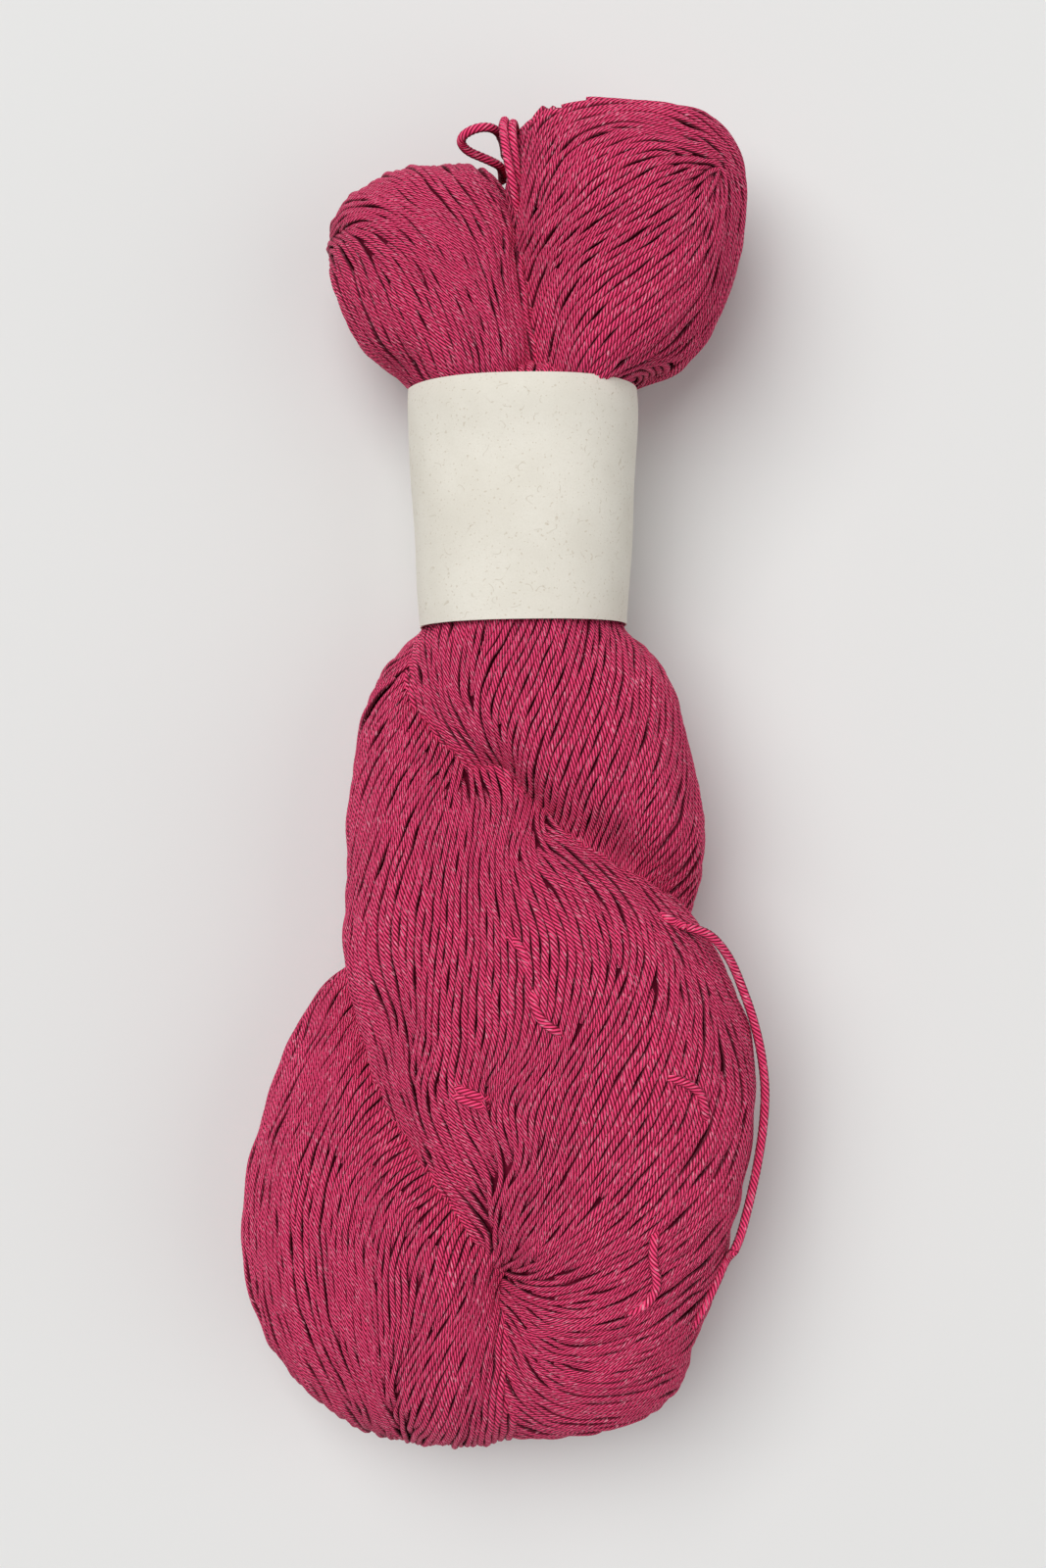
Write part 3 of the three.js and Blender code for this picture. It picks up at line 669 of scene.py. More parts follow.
class Bundle:
    """The skin of one bundle, and how the yarn runs on it."""

    def __init__(self, name, rows, lay, shift, sway):
        self.name = name
        self.points = np.round(skin(name, rows, shift), DECIMALS)
        self.count, self.sides = self.points.shape[:2]
        self.normals = outward_normals(self.points)
        self.quads = skin_quads(self.points, self.normals)
        self.tree = BVHTree.FromPolygons(self.points.reshape(-1, 3).tolist(), self.quads)
        self.run = self.running_directions(lay, shift, sway)
        self.place = [Vector(p) for p in self.points.reshape(-1, 3).tolist()]
        self.normal = [Vector(n) for n in self.normals.reshape(-1, 3).tolist()]
        self.heading = [Vector(d) for d in self.run.reshape(-1, 3).tolist()]
        self.buried = [0.0] * len(self.place)

    def running_directions(self, lay, shift, sway):
        """The strands' direction at each point of the skin: by the lay on the upper side,
        and from there carried smoothly round the sides to the underside."""
        places, doubled = [], []
        for line in lay:
            fine = spline(line, [LAY_SPANS] * (len(line) - 1))
            step = np.diff(fine, axis=0)
            turn = 2 * np.arctan2(step[:, 1], step[:, 0])
            places.append((fine[1:] + fine[:-1]) / 2)
            doubled.append(np.stack([np.cos(turn), np.sin(turn)], -1))
        flat = self.points.reshape(-1, 3)
        normal = self.normals.reshape(-1, 3)
        over = np.array(CAMERA_OVER) + shift
        drawn_larger = (CAMERA_HEIGHT - LAY_READ_AT) / (CAMERA_HEIGHT - flat[:, 2:])
        drawn = over + (flat[:, :2] - over) * drawn_larger
        gap = ((drawn[:, None] - np.vstack(places)[None] - shift) ** 2).sum(-1)
        mean = (1 / (gap + LAY_SOFTNESS) ** 2) @ np.vstack(doubled)
        angle = np.round(np.arctan2(mean[:, 1], mean[:, 0]) / 2 + sway(flat), DECIMALS)
        plan = np.stack([np.cos(angle), np.sin(angle)], -1)
        drop = -(plan * normal[:, :2]).sum(-1, keepdims=True)
        lift = unit(np.concatenate([plan * normal[:, 2:3], drop], -1))
        shape = (self.count, self.sides)
        seen = (normal[:, 2] > LAY_SEEN).reshape(shape)[..., None, None]
        n = self.normals
        flatten = np.eye(3) - n[..., :, None] * n[..., None, :]
        start = (lift[:, :, None] * lift[:, None, :]).reshape(shape + (3, 3)) * seen
        tensor = start
        across = self.sides // 2
        for _ in range(LAY_PASSES):
            after = np.concatenate([tensor[1:], np.roll(tensor[-1:], across, axis=1)])
            before = np.concatenate([np.roll(tensor[:1], across, axis=1), tensor[:-1]])
            beside = np.roll(tensor, 1, axis=1) + np.roll(tensor, -1, axis=1)
            mean = flatten @ (after + before + beside + tensor) @ flatten
            size = np.trace(mean, axis1=-2, axis2=-1)[..., None, None]
            tensor = np.where(seen, start, mean / np.maximum(size, 1e-9))
        heading = np.linalg.eigh(tensor)[1][..., :, -1]
        heading = heading * np.sign((heading * ONE_WAY).sum(-1, keepdims=True))
        return np.round(heading, DECIMALS)

    def depth_of(self, place):
        """How far a place is inside the bundle, negative outside."""
        spot, normal, _, gap = self.tree.find_nearest(place)
        return gap if (place - spot).dot(normal) < 0 else -gap

    def bury(self, others):
        """Notes how deep each point of the skin lies in the other bundles or in the band."""
        for i, place in enumerate(self.place):
            depth = max([other.depth_of(place) for other in others] + [-HIDDEN_AT])
            if BAND_FROM + IN_BAND < place.y < BAND_TO - IN_BAND:
                depth = 2 * HIDDEN_AT
            self.buried[i] = depth

    def read(self, face, place, heading):
        """The strands' heading, the normal and the cover at a place on a face."""
        corners = self.quads[face]
        run, normal, cover, total = Vector(), Vector(), 0.0, 0.0
        for corner in corners:
            weight = 1 / ((self.place[corner] - place).length_squared + CORNER_SOFTNESS)
            step = self.heading[corner]
            run += step * (weight if step.dot(heading) >= 0 else -weight)
            normal += self.normal[corner] * weight
            cover += self.buried[corner] * weight
            total += weight
        normal.normalize()
        return (run - normal * run.dot(normal)).normalized(), normal, cover / total


class StrandLayer:
    """Strands laid side by side over a bundle, each following the lay."""

    def __init__(self, bundle, spacing, seed):
        self.bundle = bundle
        self.spacing = spacing
        self.seen_to = NECK_SEEN_TO if bundle.name == "neck" else SEEN_TO
        self.hidden_at = NECK_HIDDEN_AT if bundle.name == "neck" else HIDDEN_AT
        self.rng = random.Random(seed)
        self.cells = {}
        self.strands = []
        self.fill()

    def cell(self, place):
        size = self.spacing
        return math.floor(place.x / size), math.floor(place.y / size), math.floor(place.z / size)

    def crowded(self, place, limit, number=-1, turn=0):
        """Whether another strand, or a far stretch of the same one, is nearer than a limit."""
        x, y, z = self.cell(place)
        for i in (x - 1, x, x + 1):
            for j in (y - 1, y, y + 1):
                for k in (z - 1, z, z + 1):
                    for other, owner, at in self.cells.get((i, j, k), ()):
                        if owner == number and abs(at - turn) < OWN_REACH:
                            continue
                        if (other - place).length_squared < limit * limit:
                            return True
        return False

    def grow(self, place, face, heading, number, way):
        """Follows the lay one way from a place. Gives the points and whether the end is hidden."""
        points = []
        turn = 0
        while True:
            ahead, normal, cover = self.bundle.read(face, place, heading)
            if ahead.dot(heading) < TURN_LIMIT:
                return points, False
            heading = ahead
            points.append((place, normal))
            self.cells.setdefault(self.cell(place), []).append((place, number, turn))
            if cover > self.hidden_at:
                return points, True
            turn += way
            place, _, face, _ = self.bundle.tree.find_nearest(place + heading * STEP)
            if self.crowded(place, CROWDED * self.spacing, number, turn):
                return points, False

    def try_seed(self, place):
        """Lays a strand through a place if there is room for it."""
        place, _, face, _ = self.bundle.tree.find_nearest(place)
        heading, _, cover = self.bundle.read(face, place, self.bundle.heading[self.bundle.quads[face][0]])
        if cover > self.seen_to or self.crowded(place, SEED_ROOM * self.spacing):
            return None
        number = len(self.strands)
        ahead, ahead_hidden = self.grow(place, face, heading, number, 1)
        for spot, _ in ahead[:1]:
            self.cells[self.cell(spot)].pop()
        behind, behind_hidden = self.grow(place, face, -heading, number, -1)
        line = behind[:0:-1] + ahead
        if len(line) < SHORTEST:
            for spot, _ in line:
                kept = [entry for entry in self.cells.get(self.cell(spot), []) if entry[1] != number]
                self.cells[self.cell(spot)] = kept
            self.strands.append(None)
            return None
        places = np.array([spot for spot, _ in line])
        normals = np.array([normal for _, normal in line])
        self.strands.append((places, normals, behind_hidden, ahead_hidden))
        return line

    def fill(self):
        """Lays strands beside those already laid until the skin is covered."""
        seeds = list(range(len(self.bundle.place)))
        self.rng.shuffle(seeds)
        for seed in seeds:
            waiting = [self.bundle.place[seed]]
            while waiting:
                line = self.try_seed(waiting.pop(0))
                if line is None:
                    continue
                for (spot, normal), (after, _) in list(zip(line, line[1:]))[::2]:
                    beside = (after - spot).cross(normal).normalized() * SEED_ASIDE * self.spacing
                    waiting.append(spot + beside)
                    waiting.append(spot - beside)
        self.strands = joined([strand for strand in self.strands if strand])


def joined(strands):
    """The strands, with those made one whose ends in sight face each other closely."""
    strands = list(strands)
    tips = []
    for number, (places, _, start_hidden, end_hidden) in enumerate(strands):
        if not start_hidden:
            tips.append((number, 0, places[0], unit(places[0] - places[2])))
        if not end_hidden:
            tips.append((number, 1, places[-1], unit(places[-1] - places[-3])))
    spots = np.array([tip[2] for tip in tips])
    heads = np.array([tip[3] for tip in tips])
    gaps = spots[None] - spots[:, None]
    far = np.linalg.norm(gaps, axis=-1) + 1e-6
    ahead = (gaps * heads[:, None]).sum(-1) / far
    fits = (far < JOIN_WITHIN) & (ahead > JOIN_ALIGNED) & (ahead.T > JOIN_ALIGNED)
    pairs = sorted((far[a, b], a, b) for a, b in zip(*np.nonzero(fits)) if a < b)
    owner = {(tip[0], tip[1]): (tip[0], tip[1]) for tip in tips}
    for _, a, b in pairs:
        first, second = owner.get(tips[a][:2]), owner.get(tips[b][:2])
        if first is None or second is None or first[0] == second[0]:
            continue
        one, two = strands[first[0]], strands[second[0]]
        one = one if first[1] else tuple(part[::-1] for part in one[:2]) + (one[3], one[2])
        two = tuple(part[::-1] for part in two[:2]) + (two[3], two[2]) if second[1] else two
        strands[first[0]] = tuple(np.concatenate(parts) for parts in zip(one[:2], two[:2])) + (one[2], two[3])
        strands[second[0]] = None
        del owner[tips[a][:2]], owner[tips[b][:2]]
        for key, (number, end) in list(owner.items()):
            if number == first[0]:
                owner[key] = (first[0], 0)
            elif number == second[0]:
                owner[key] = (first[0], 1)
    return [strand for strand in strands if strand]


def spread_out(strands):
    """The strands, moved sideways step by step into the room between their neighbours,
    and for each how far its neighbours on the two sides then are."""
    for _ in range(SPREAD_PASSES):
        moved = []
        for (places, normals, start_hidden, end_hidden), beside in zip(strands, rooms(strands)):
            aside = np.cross(unit(np.gradient(places, axis=0)), normals)
            way = np.clip((beside[:, 1] - beside[:, 0]) * SHIFT_SHARE, -SHIFT_LIMIT, SHIFT_LIMIT)
            moved.append((soften(places + aside * way[:, None], 1), normals, start_hidden, end_hidden))
        strands = moved
    return zip(strands, rooms(strands))


def rooms(strands):
    """For each strand, how far its neighbours on the two sides are from each point."""
    tree = KDTree(sum(len(strand[0]) for strand in strands))
    owner = []
    for number, strand in enumerate(strands):
        for place in strand[0]:
            tree.insert(place, len(owner))
            owner.append(number)
    tree.balance()
    found = []
    for number, (places, normals, _, _) in enumerate(strands):
        aside = np.cross(unit(np.gradient(places, axis=0)), normals)
        beside = np.full((len(places), 2), NEIGHBOUR_REACH)
        for row, (place, side) in enumerate(zip(places, aside)):
            place, side = Vector(place), Vector(side)
            for spot, index, gap in tree.find_range(place, NEIGHBOUR_REACH):
                if owner[index] != number:
                    hand = int((spot - place).dot(side) > 0)
                    beside[row, hand] = min(beside[row, hand], gap)
        found.append(soften(beside, ROOM_SOFTENED))
    return found


def waver(rng, run, wavelengths):
    """A random wave along a strand, mostly between -1 and 1."""
    value = np.zeros_like(run)
    for wavelength in wavelengths:
        number = 2 * np.pi / (wavelength * rng.uniform(*WAVER_SPREAD))
        value += np.sin(run * number + rng.uniform(0, 2 * np.pi))
    return value / len(wavelengths)


def soften(values, passes):
    """Averages each row with the rows before and after it, ends kept."""
    for _ in range(passes):
        middle = (values[:-2] + 2 * values[1:-1] + values[2:]) / 4
        values = np.concatenate([values[:1], middle, values[-1:]])
    return values


def settled_strand(strand, beside, radius, furrows, rng):
    """A strand's centre line, upward normals and radii: it fills the room between its
    neighbours, lies under the skin, sinks and rises a little, and dives where it ends in sight."""
    places, normals, start_hidden, end_hidden = strand
    places = soften(places, 2)
    normals = unit(soften(normals, 3))
    run = run_along(places)
    sink = radius + UNDER_SKIN + HEIGHT_SPREAD * rng.standard_normal()
    sink = sink + RISE_AND_FALL * waver(rng, run, RISE_WAVES)
    sink = sink + FURROW_DEPTH * np.maximum(soften(furrows(places), FURROW_SOFTENED), 0)
    into_band = np.minimum(places[:, 1] - BAND_FROM, BAND_TO - places[:, 1])
    sink = sink + BAND_PRESS * np.clip(into_band / 2 + 1, 0, 1)
    for hidden, gone in ((start_hidden, run), (end_hidden, run[-1] - run)):
        if not hidden:
            sink = sink + END_DIVE * np.exp(-(gone / END_DIVE_OVER) ** 2)
    along = unit(np.gradient(places, axis=0))
    aside = unit(np.cross(along, normals))
    sideways = SIDE_SWING * waver(rng, run, SIDE_WAVES)
    centre = places - normals * sink[:, None] + aside * sideways[:, None]
    centre[:, 2] = np.maximum(centre[:, 2], radius)
    uneven = 1 + THICKNESS_SWING * waver(rng, run, THICKNESS_WAVES)
    thickness = FILLED * beside.mean(axis=1) / 2 * uneven
    return centre, normals, np.clip(thickness, THINNEST * radius, THICKEST * radius)


def tube_rings(centre, normals, radii, sides, run, relief):
    """Rings of points round a centre line, the first point of each on its underside.
    The relief raises the plies, as a share of the radius."""
    along = unit(np.gradient(centre, axis=0))
    up = unit(normals - (normals * along).sum(-1, keepdims=True) * along)
    aside = np.cross(along, up)
    turn = np.pi + 2 * np.pi * np.arange(sides) / sides
    spoke = np.cos(turn)[None, :, None] * up[:, None] + np.sin(turn)[None, :, None] * aside[:, None]
    ply = PLIES * np.arange(sides)[None, :] / sides + run[:, None] / PLY_RISE
    ridge = 1 + relief * (np.abs(np.sin(np.pi * ply)) - RELIEF_MIDDLE)
    return centre[:, None] + (radii[:, None] * ridge)[..., None] * spoke


def tube_mesh(name, lines, sides, relief=0.0):
    """One mesh of round strands. Its UV map holds the millimetres along and the turn round."""
    points, corners, coordinates, starts = [], [], [], []
    rng = np.random.default_rng(len(lines))
    first = 0
    begin = 0
    for centre, normals, radii in lines:
        count = len(centre)
        run = run_along(centre) + rng.uniform(0, LONGEST_START)
        ring = tube_rings(centre, normals, radii, sides, run, relief)
        i, j = np.meshgrid(np.arange(count - 1), np.arange(sides), indexing="ij")
        k = (j + 1) % sides
        quads = np.stack([i * sides + j, i * sides + k, (i + 1) * sides + k, (i + 1) * sides + j], -1)
        u = np.stack([run[i], run[i], run[i + 1], run[i + 1]], -1)
        v = np.stack([j, j + 1, j + 1, j], -1) / sides
        lid = np.arange(sides)
        points.append(ring.reshape(-1, 3))
        corners += [quads.reshape(-1) + first, lid[::-1] + first, lid + first + (count - 1) * sides]
        lids = np.stack([np.repeat(run[[0, -1]], sides), np.tile(lid / sides, 2)], -1)
        coordinates += [np.stack([u.reshape(-1), v.reshape(-1)], -1), lids]
        quad_count = (count - 1) * sides
        starts += [begin + 4 * np.arange(quad_count), begin + 4 * quad_count + np.array([0, sides])]
        begin += 4 * quad_count + 2 * sides
        first += count * sides
    return mesh_of(name, np.concatenate(points), np.concatenate(corners), np.concatenate(starts),
                   np.concatenate(coordinates))


def mesh_of(name, points, corners, starts, coordinates=None):
    """A smooth mesh from points in millimetres and the corners of its faces."""
    mesh = bpy.data.meshes.new(name)
    mesh.vertices.add(len(points))
    mesh.vertices.foreach_set("co", (points * MM).reshape(-1).astype(np.float32))
    mesh.loops.add(len(corners))
    mesh.loops.foreach_set("vertex_index", corners.astype(np.int32))
    mesh.polygons.add(len(starts))
    mesh.polygons.foreach_set("loop_start", starts.astype(np.int32))
    mesh.update(calc_edges=True)
    mesh.validate()
    if coordinates is not None:
        layer = mesh.uv_layers.new(name="UVMap")
        layer.data.foreach_set("uv", coordinates.reshape(-1).astype(np.float32))
    mesh.shade_smooth()
    piece = bpy.data.objects.new(name, mesh)
    bpy.context.scene.collection.objects.link(piece)
    return piece


class Signal:
    """A socket of a material. Sums and products with it add Math nodes."""

    def __init__(self, finish, socket):
        self.finish = finish
        self.socket = socket

    def math(self, operation, *others):
        values = {place: value for place, value in enumerate((self,) + others)}
        return self.finish.node("ShaderNodeMath", {"operation": operation}, values)

    def __add__(self, other):
        return self.math("ADD", other)

    def __sub__(self, other):
        return self.math("SUBTRACT", other)

    def __mul__(self, other):
        return self.math("MULTIPLY", other)

    def __truediv__(self, other):
        return self.math("DIVIDE", other)

    def __rsub__(self, other):
        return self.finish.node("ShaderNodeMath", {"operation": "SUBTRACT"}, {0: other, 1: self})

    def __rtruediv__(self, other):
        return self.finish.node("ShaderNodeMath", {"operation": "DIVIDE"}, {0: other, 1: self})

    __radd__ = __add__
    __rmul__ = __mul__


class Finish:
    """A material whose nodes are written as expressions."""

    def __init__(self, name):
        self.material = bpy.data.materials.new(name)
        self.material.use_nodes = True
        self.tree = self.material.node_tree
        self.tree.nodes.clear()

    def node(self, kind, settings=None, sockets=None, output=0):
        """Adds a node, makes its settings, fills its sockets and gives one of its outputs."""
        node = self.tree.nodes.new(kind)
        for setting, value in (settings or {}).items():
            setattr(node, setting, value)
        for name, value in (sockets or {}).items():
            if isinstance(value, Signal):
                self.tree.links.new(value.socket, node.inputs[name])
            else:
                node.inputs[name].default_value = value
        return Signal(self, node.outputs[output])

    def mix(self, share, first, second):
        """Two colours mixed by a share, each a link or three numbers."""
        ends = [end if isinstance(end, Signal) else tuple(end) + (1,) for end in (first, second)]
        return self.node("ShaderNodeMix", {"data_type": "RGBA"}, {0: share, 6: ends[0], 7: ends[1]}, 2)

    def smooth(self, value, low, high, bottom=0.0, top=1.0):
        """A soft step of a value between two limits."""
        sockets = {"Value": value, "From Min": low, "From Max": high, "To Min": bottom, "To Max": top}
        return self.node("ShaderNodeMapRange", {"interpolation_type": "SMOOTHSTEP"}, sockets)

    def noise(self, place, scale, detail=2.0, roughness=0.5):
        """A soft noise over a place, about 0.3 to 0.7."""
        sockets = {"Vector": place, "Scale": scale, "Detail": detail, "Roughness": roughness}
        return self.node("ShaderNodeTexNoise", None, sockets)

    def parts(self, vector):
        """The three parts of a vector."""
        return [self.node("ShaderNodeSeparateXYZ", None, {0: vector}, part) for part in range(3)]

    def place(self):
        """The place on the object."""
        return self.node("ShaderNodeTexCoord", None, None, 3)

    def bump(self, height, distance):
        """Relief of a height, in metres at a height of one."""
        return self.node("ShaderNodeBump", None, {"Height": height, "Distance": distance})

    def surface(self, sockets):
        """The shader itself, with its sockets filled."""
        shader = self.node("ShaderNodeBsdfPrincipled", None, sockets)
        output = self.tree.nodes.new("ShaderNodeOutputMaterial")
        self.tree.links.new(shader.socket, output.inputs["Surface"])
        return self.material


def yarn_material(colours, name, depth):
    """Dyed yarn of many fine plies, with pale slubs and a soft bloom of fibre, a painted highlight on the ply
    ridges and painted shade between the plies and on the strands' flanks.
    """
    f = Finish(name)
    along, turn, _ = f.parts(f.node("ShaderNodeUVMap", {"uv_map": "UVMap"}))
    ply = turn * PLIES + along / PLY_RISE
    ridge = (ply * math.pi).math("SINE").math("ABSOLUTE")

    def pattern(values, across):
        fast_along, fast_across, detail, roughness = values
        spot = f.node("ShaderNodeCombineXYZ", None, {0: along * fast_along, 1: across * fast_across})
        return f.noise(spot, 1.0, detail, roughness)

    fibre = pattern(FIBRE, ply)
    # Painted shade on the strands' flanks and undersides, by the turn round each strand.
    flank = f.smooth((turn - 0.5).math("ABSOLUTE"), *FLANK_SHADE_LIMITS)
    flank_shade = [FLANK_SHADE * part for part in colours.yarn_painted_shade]
    uneven = f.smooth(pattern(UNEVEN, ply), *UNEVEN_LIMITS)
    body = f.mix(f.smooth(pattern(DYE, turn), *DYE_LIMITS), colours.yarn_deep, colours.yarn)
    body = f.mix(uneven * UNEVEN_SHARE, body, colours.yarn_pale_and_highlight)
    # Painted highlight on the ply ridges.
    body = f.mix(f.smooth(ridge, *RIDGE_HIGHLIGHT_LIMITS) * RIDGE_HIGHLIGHT_SHARE, body, colours.yarn_pale_and_highlight)
    # Painted shade in the valleys between plies.
    body = f.mix(1 - f.smooth(ridge, *VALLEY_SHADE_LIMITS), body, colours.yarn_painted_shade)
    # Painted shade on the flanks.
    body = f.mix(flank * FLANK_SHADE_SHARE, body, flank_shade)
    body = f.mix(f.smooth(pattern(SLUB, ply), *FLECK_LIMITS) * FLECK_SHARE, body, colours.fleck)
    return f.surface({
        "Base Color": body,
        "Roughness": f.smooth(fibre, *FIBRE_LIMITS, *YARN_ROUGHNESS),
        "Specular IOR Level": 0.18,
        "Sheen Weight": 0.08,
        "Sheen Roughness": 0.45,
        "Sheen Tint": (1.0, 0.55, 0.72, 1.0),
        "Normal": f.bump(ridge + fibre * FIBRE_HEIGHT, depth),
    })


def painted_shade_core_material(colours):
    """The yarn deep in the hank, which shows only as the dark between strands; its colour is painted shade.
    """
    f = Finish("yarn_core")
    cloud = f.noise(f.place(), 600.0, 3.0, 0.6)
    # Painted shade: the core is coloured as the dark between strands, darker in random clouds.
    deepest_shade = [0.6 * part for part in colours.yarn_painted_shade]
    return f.surface({
        "Base Color": f.mix(f.smooth(cloud, *DYE_LIMITS), deepest_shade, colours.yarn_painted_shade),
        "Roughness": 0.9,
        "Specular IOR Level": 0.1,
        "Normal": f.bump(cloud, 0.0006),
    })


def paper_material(colours):
    """Uncoated recycled paper with fine tan fibres and specks."""
    f = Finish("band_paper")
    place = f.place()
    cloud = f.noise(place, 90.0, 3.0, 0.55)
    grain = f.noise(place, 2600.0, 3.0, 0.65)
    bend = f.noise(place, 260.0, 1.0)
    lines = 1 - f.smooth((bend - 0.5).math("ABSOLUTE"), 0.0, 0.012)
    fibres = lines * f.smooth(f.noise(place, 520.0, 0.0), 0.60, 0.66)
    speck = f.smooth(f.noise(place, 2000.0, 0.0), 0.72, 0.78)
    base = f.mix(f.smooth(cloud, 0.3, 0.7) * 0.5, colours.paper, colours.paper_shade)
    base = f.mix(f.smooth(grain, 0.4, 0.75) * 0.35, base, colours.paper_shade)
    base = f.mix(fibres * 0.4, base, colours.paper_fibre)
    base = f.mix(speck * 0.35, base, colours.paper_fibre)
    return f.surface({
        "Base Color": base,
        "Roughness": f.smooth(grain, 0.3, 0.7, 0.7, 0.88),
        "Specular IOR Level": 0.25,
        "Normal": f.bump(grain + fibres * 0.5, 0.00006),
    })


def floor_material(colours):
    """A plain pale surface."""
    f = Finish("pale_floor")
    dimmer = [0.985 * part for part in colours.floor]
    return f.surface({
        "Base Color": f.mix(f.noise(f.place(), 6.0), dimmer, colours.floor),
        "Roughness": 0.9,
        "Specular IOR Level": 0.1,
    })


def colour_prop(name, description, default):
    """A colour that a user may change."""
    return FloatVectorProperty(name=name, description=description, subtype="COLOR", size=3,
                               min=0.0, max=1.0, default=default)


def length_prop(name, description, default):
    """A length in metres that a user may change."""
    return FloatProperty(name=name, description=description, unit="LENGTH", min=0.0, default=default)


class HankSizes(PropertyGroup):
    yarn_diameter: length_prop("Yarn diameter", "Thickness of the yarn where it lies loose", 0.0017)
    packed_diameter: length_prop("Packed diameter", "Thickness of the yarn within a bundle", 0.0014)
    spacing: length_prop("Strand spacing", "Distance between neighbouring strands", 0.00148)
    paper_thickness: length_prop("Paper thickness", "Thickness of the band's paper", 0.0003)
    light_distance: length_prop("Light distance", "Distance of the soft light from the hank", 6.0)


class HankColours(PropertyGroup):
    yarn: colour_prop("Yarn", "Main colour of the yarn", (0.90, 0.0255, 0.13))
    yarn_deep: colour_prop("Deep yarn", "Colour of the darker stretches", (0.77, 0.019, 0.099))
    # Paler fibres, and also the painted highlight on the ply ridges.
    yarn_pale_and_highlight: colour_prop("Light yarn", "Colour of the paler fibres", (1.0, 0.088, 0.25))
    # Painted shade between the plies, on the strands' flanks and on the core.
    yarn_painted_shade: colour_prop("Ply shade", "Colour between the plies", (0.17, 0.005, 0.026))
    fleck: colour_prop("Flecks", "Colour of the undyed slubs", (1.0, 0.36, 0.48))
    paper: colour_prop("Paper", "Colour of the band", (0.80, 0.765, 0.68))
    paper_shade: colour_prop("Paper shade", "Colour of the band's darker clouds", (0.70, 0.66, 0.57))
    paper_fibre: colour_prop("Paper fibre", "Colour of the fibres in the paper", (0.46, 0.37, 0.25))
    floor: colour_prop("Floor", "Colour of the surface under the hank", (0.775, 0.775, 0.765))


def hank_shift():
    """How far the tables' frame lies from the part's, read off the hank's box."""
    low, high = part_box("hank")
    plans = [skin(name, rows, (0, 0))[..., :2].reshape(-1, 2) for name, (rows, _) in BUNDLES.items()]
    plan = np.concatenate(plans)
    middle = np.array([low.x + high.x, low.y + high.y]) / 2 / MM
    return middle - (plan.min(0) + plan.max(0)) / 2


def finish_piece(piece, material, slot, *nodes):
    """Gives a piece its material and its body, and hides the nodes that it stands for. The slot is not used.
    """
    piece.data.materials.clear()
    piece.data.materials.append(material)
    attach(piece, "root")
    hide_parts(*nodes)
    return piece


def loose_yarn(colours):
    """The material of the yarn that lies loose, made once."""
    return bpy.data.materials.get("yarn_loose") or yarn_material(colours, "yarn_loose", LOOSE_BUMP)


def loose_lines(routes, spans, sizes):
    """Centre lines, normals and radii of loose strands along routes."""
    lines = []
    for route in routes:
        centre = spline(route, [spans] * (len(route) - 1))
        normals = np.tile([0.01, 0.01, 1.0], (len(centre), 1))
        lines.append((centre, normals, np.full(len(centre), sizes.yarn_diameter / MM / 2)))
    return lines


def lay_stage(sizes, colours):
    """The pale floor, the soft lights and the camera straight above."""
    bpy.ops.mesh.primitive_plane_add(size=3.0, location=(0, 0, 0))
    floor = bpy.context.object
    floor.name = "floor"
    floor.data.materials.append(floor_material(colours))
    over = Vector(CAMERA_OVER) + Vector(hank_shift())
    bpy.ops.object.camera_add(location=(over.x * MM, over.y * MM, CAMERA_HEIGHT * MM), rotation=(0, 0, 0))
    camera = bpy.context.object
    camera.data.lens = CAMERA_LENS
    camera.data.sensor_fit = "VERTICAL"
    camera.data.sensor_height = CAMERA_SENSOR
    camera.data.clip_start = 0.01
    bpy.context.scene.camera = camera
    for name, place, size, power in SOFT_LIGHTS:
        position = Vector(place).normalized() * sizes.light_distance
        bpy.ops.object.light_add(type="AREA", location=position)
        light = bpy.context.object
        light.name = name
        light.rotation_euler = (-position).to_track_quat("-Z", "Y").to_euler()
        light.data.size = size
        light.data.energy = power
    world = bpy.data.worlds.new("soft_room")
    world.use_nodes = True
    background = world.node_tree.nodes["Background"]
    background.inputs["Color"].default_value = (1.0, 1.0, 1.0, 1.0)
    background.inputs["Strength"].default_value = ROOM_LIGHT
    bpy.context.scene.world = world
    bpy.context.scene.view_settings.view_transform = "Standard"
    bpy.context.scene.view_settings.look = "None"


def lay_loose_ends(sizes, colours):
    """The small loop at the top and the strand that stands off the right side."""
    shift = np.append(hank_shift(), 0)
    for name, route in (("loose_loop", LOOSE_LOOP), ("loose_strand", LOOSE_STRAND)):
        lines = loose_lines([np.array(route) + shift], LOOSE_SPANS, sizes)
        piece = tube_mesh(name + "_yarn", lines, LOOSE_SIDES, LOOSE_RELIEF)
        finish_piece(piece, loose_yarn(colours), "yarn", name)


def sway_of(name):
    """How the lay of a bundle wavers, as an angle at each place."""
    broad = hills(len(name), BROAD_SWAY)
    small = hills(2 * len(name) + 1, SMALL_SWAY)
    middle = np.array(RUFFLE_AT)

    def sway(points):
        near = np.exp(-((points[:, :2] - middle) ** 2).sum(-1) / (2 * RUFFLE_SPREAD ** 2))
        ruffled = RUFFLE_TURN * near if name == "over" else 0.0
        return SWAY_TURN * broad(points) + (SWAY_TURN + ruffled) * small(points)

    return sway


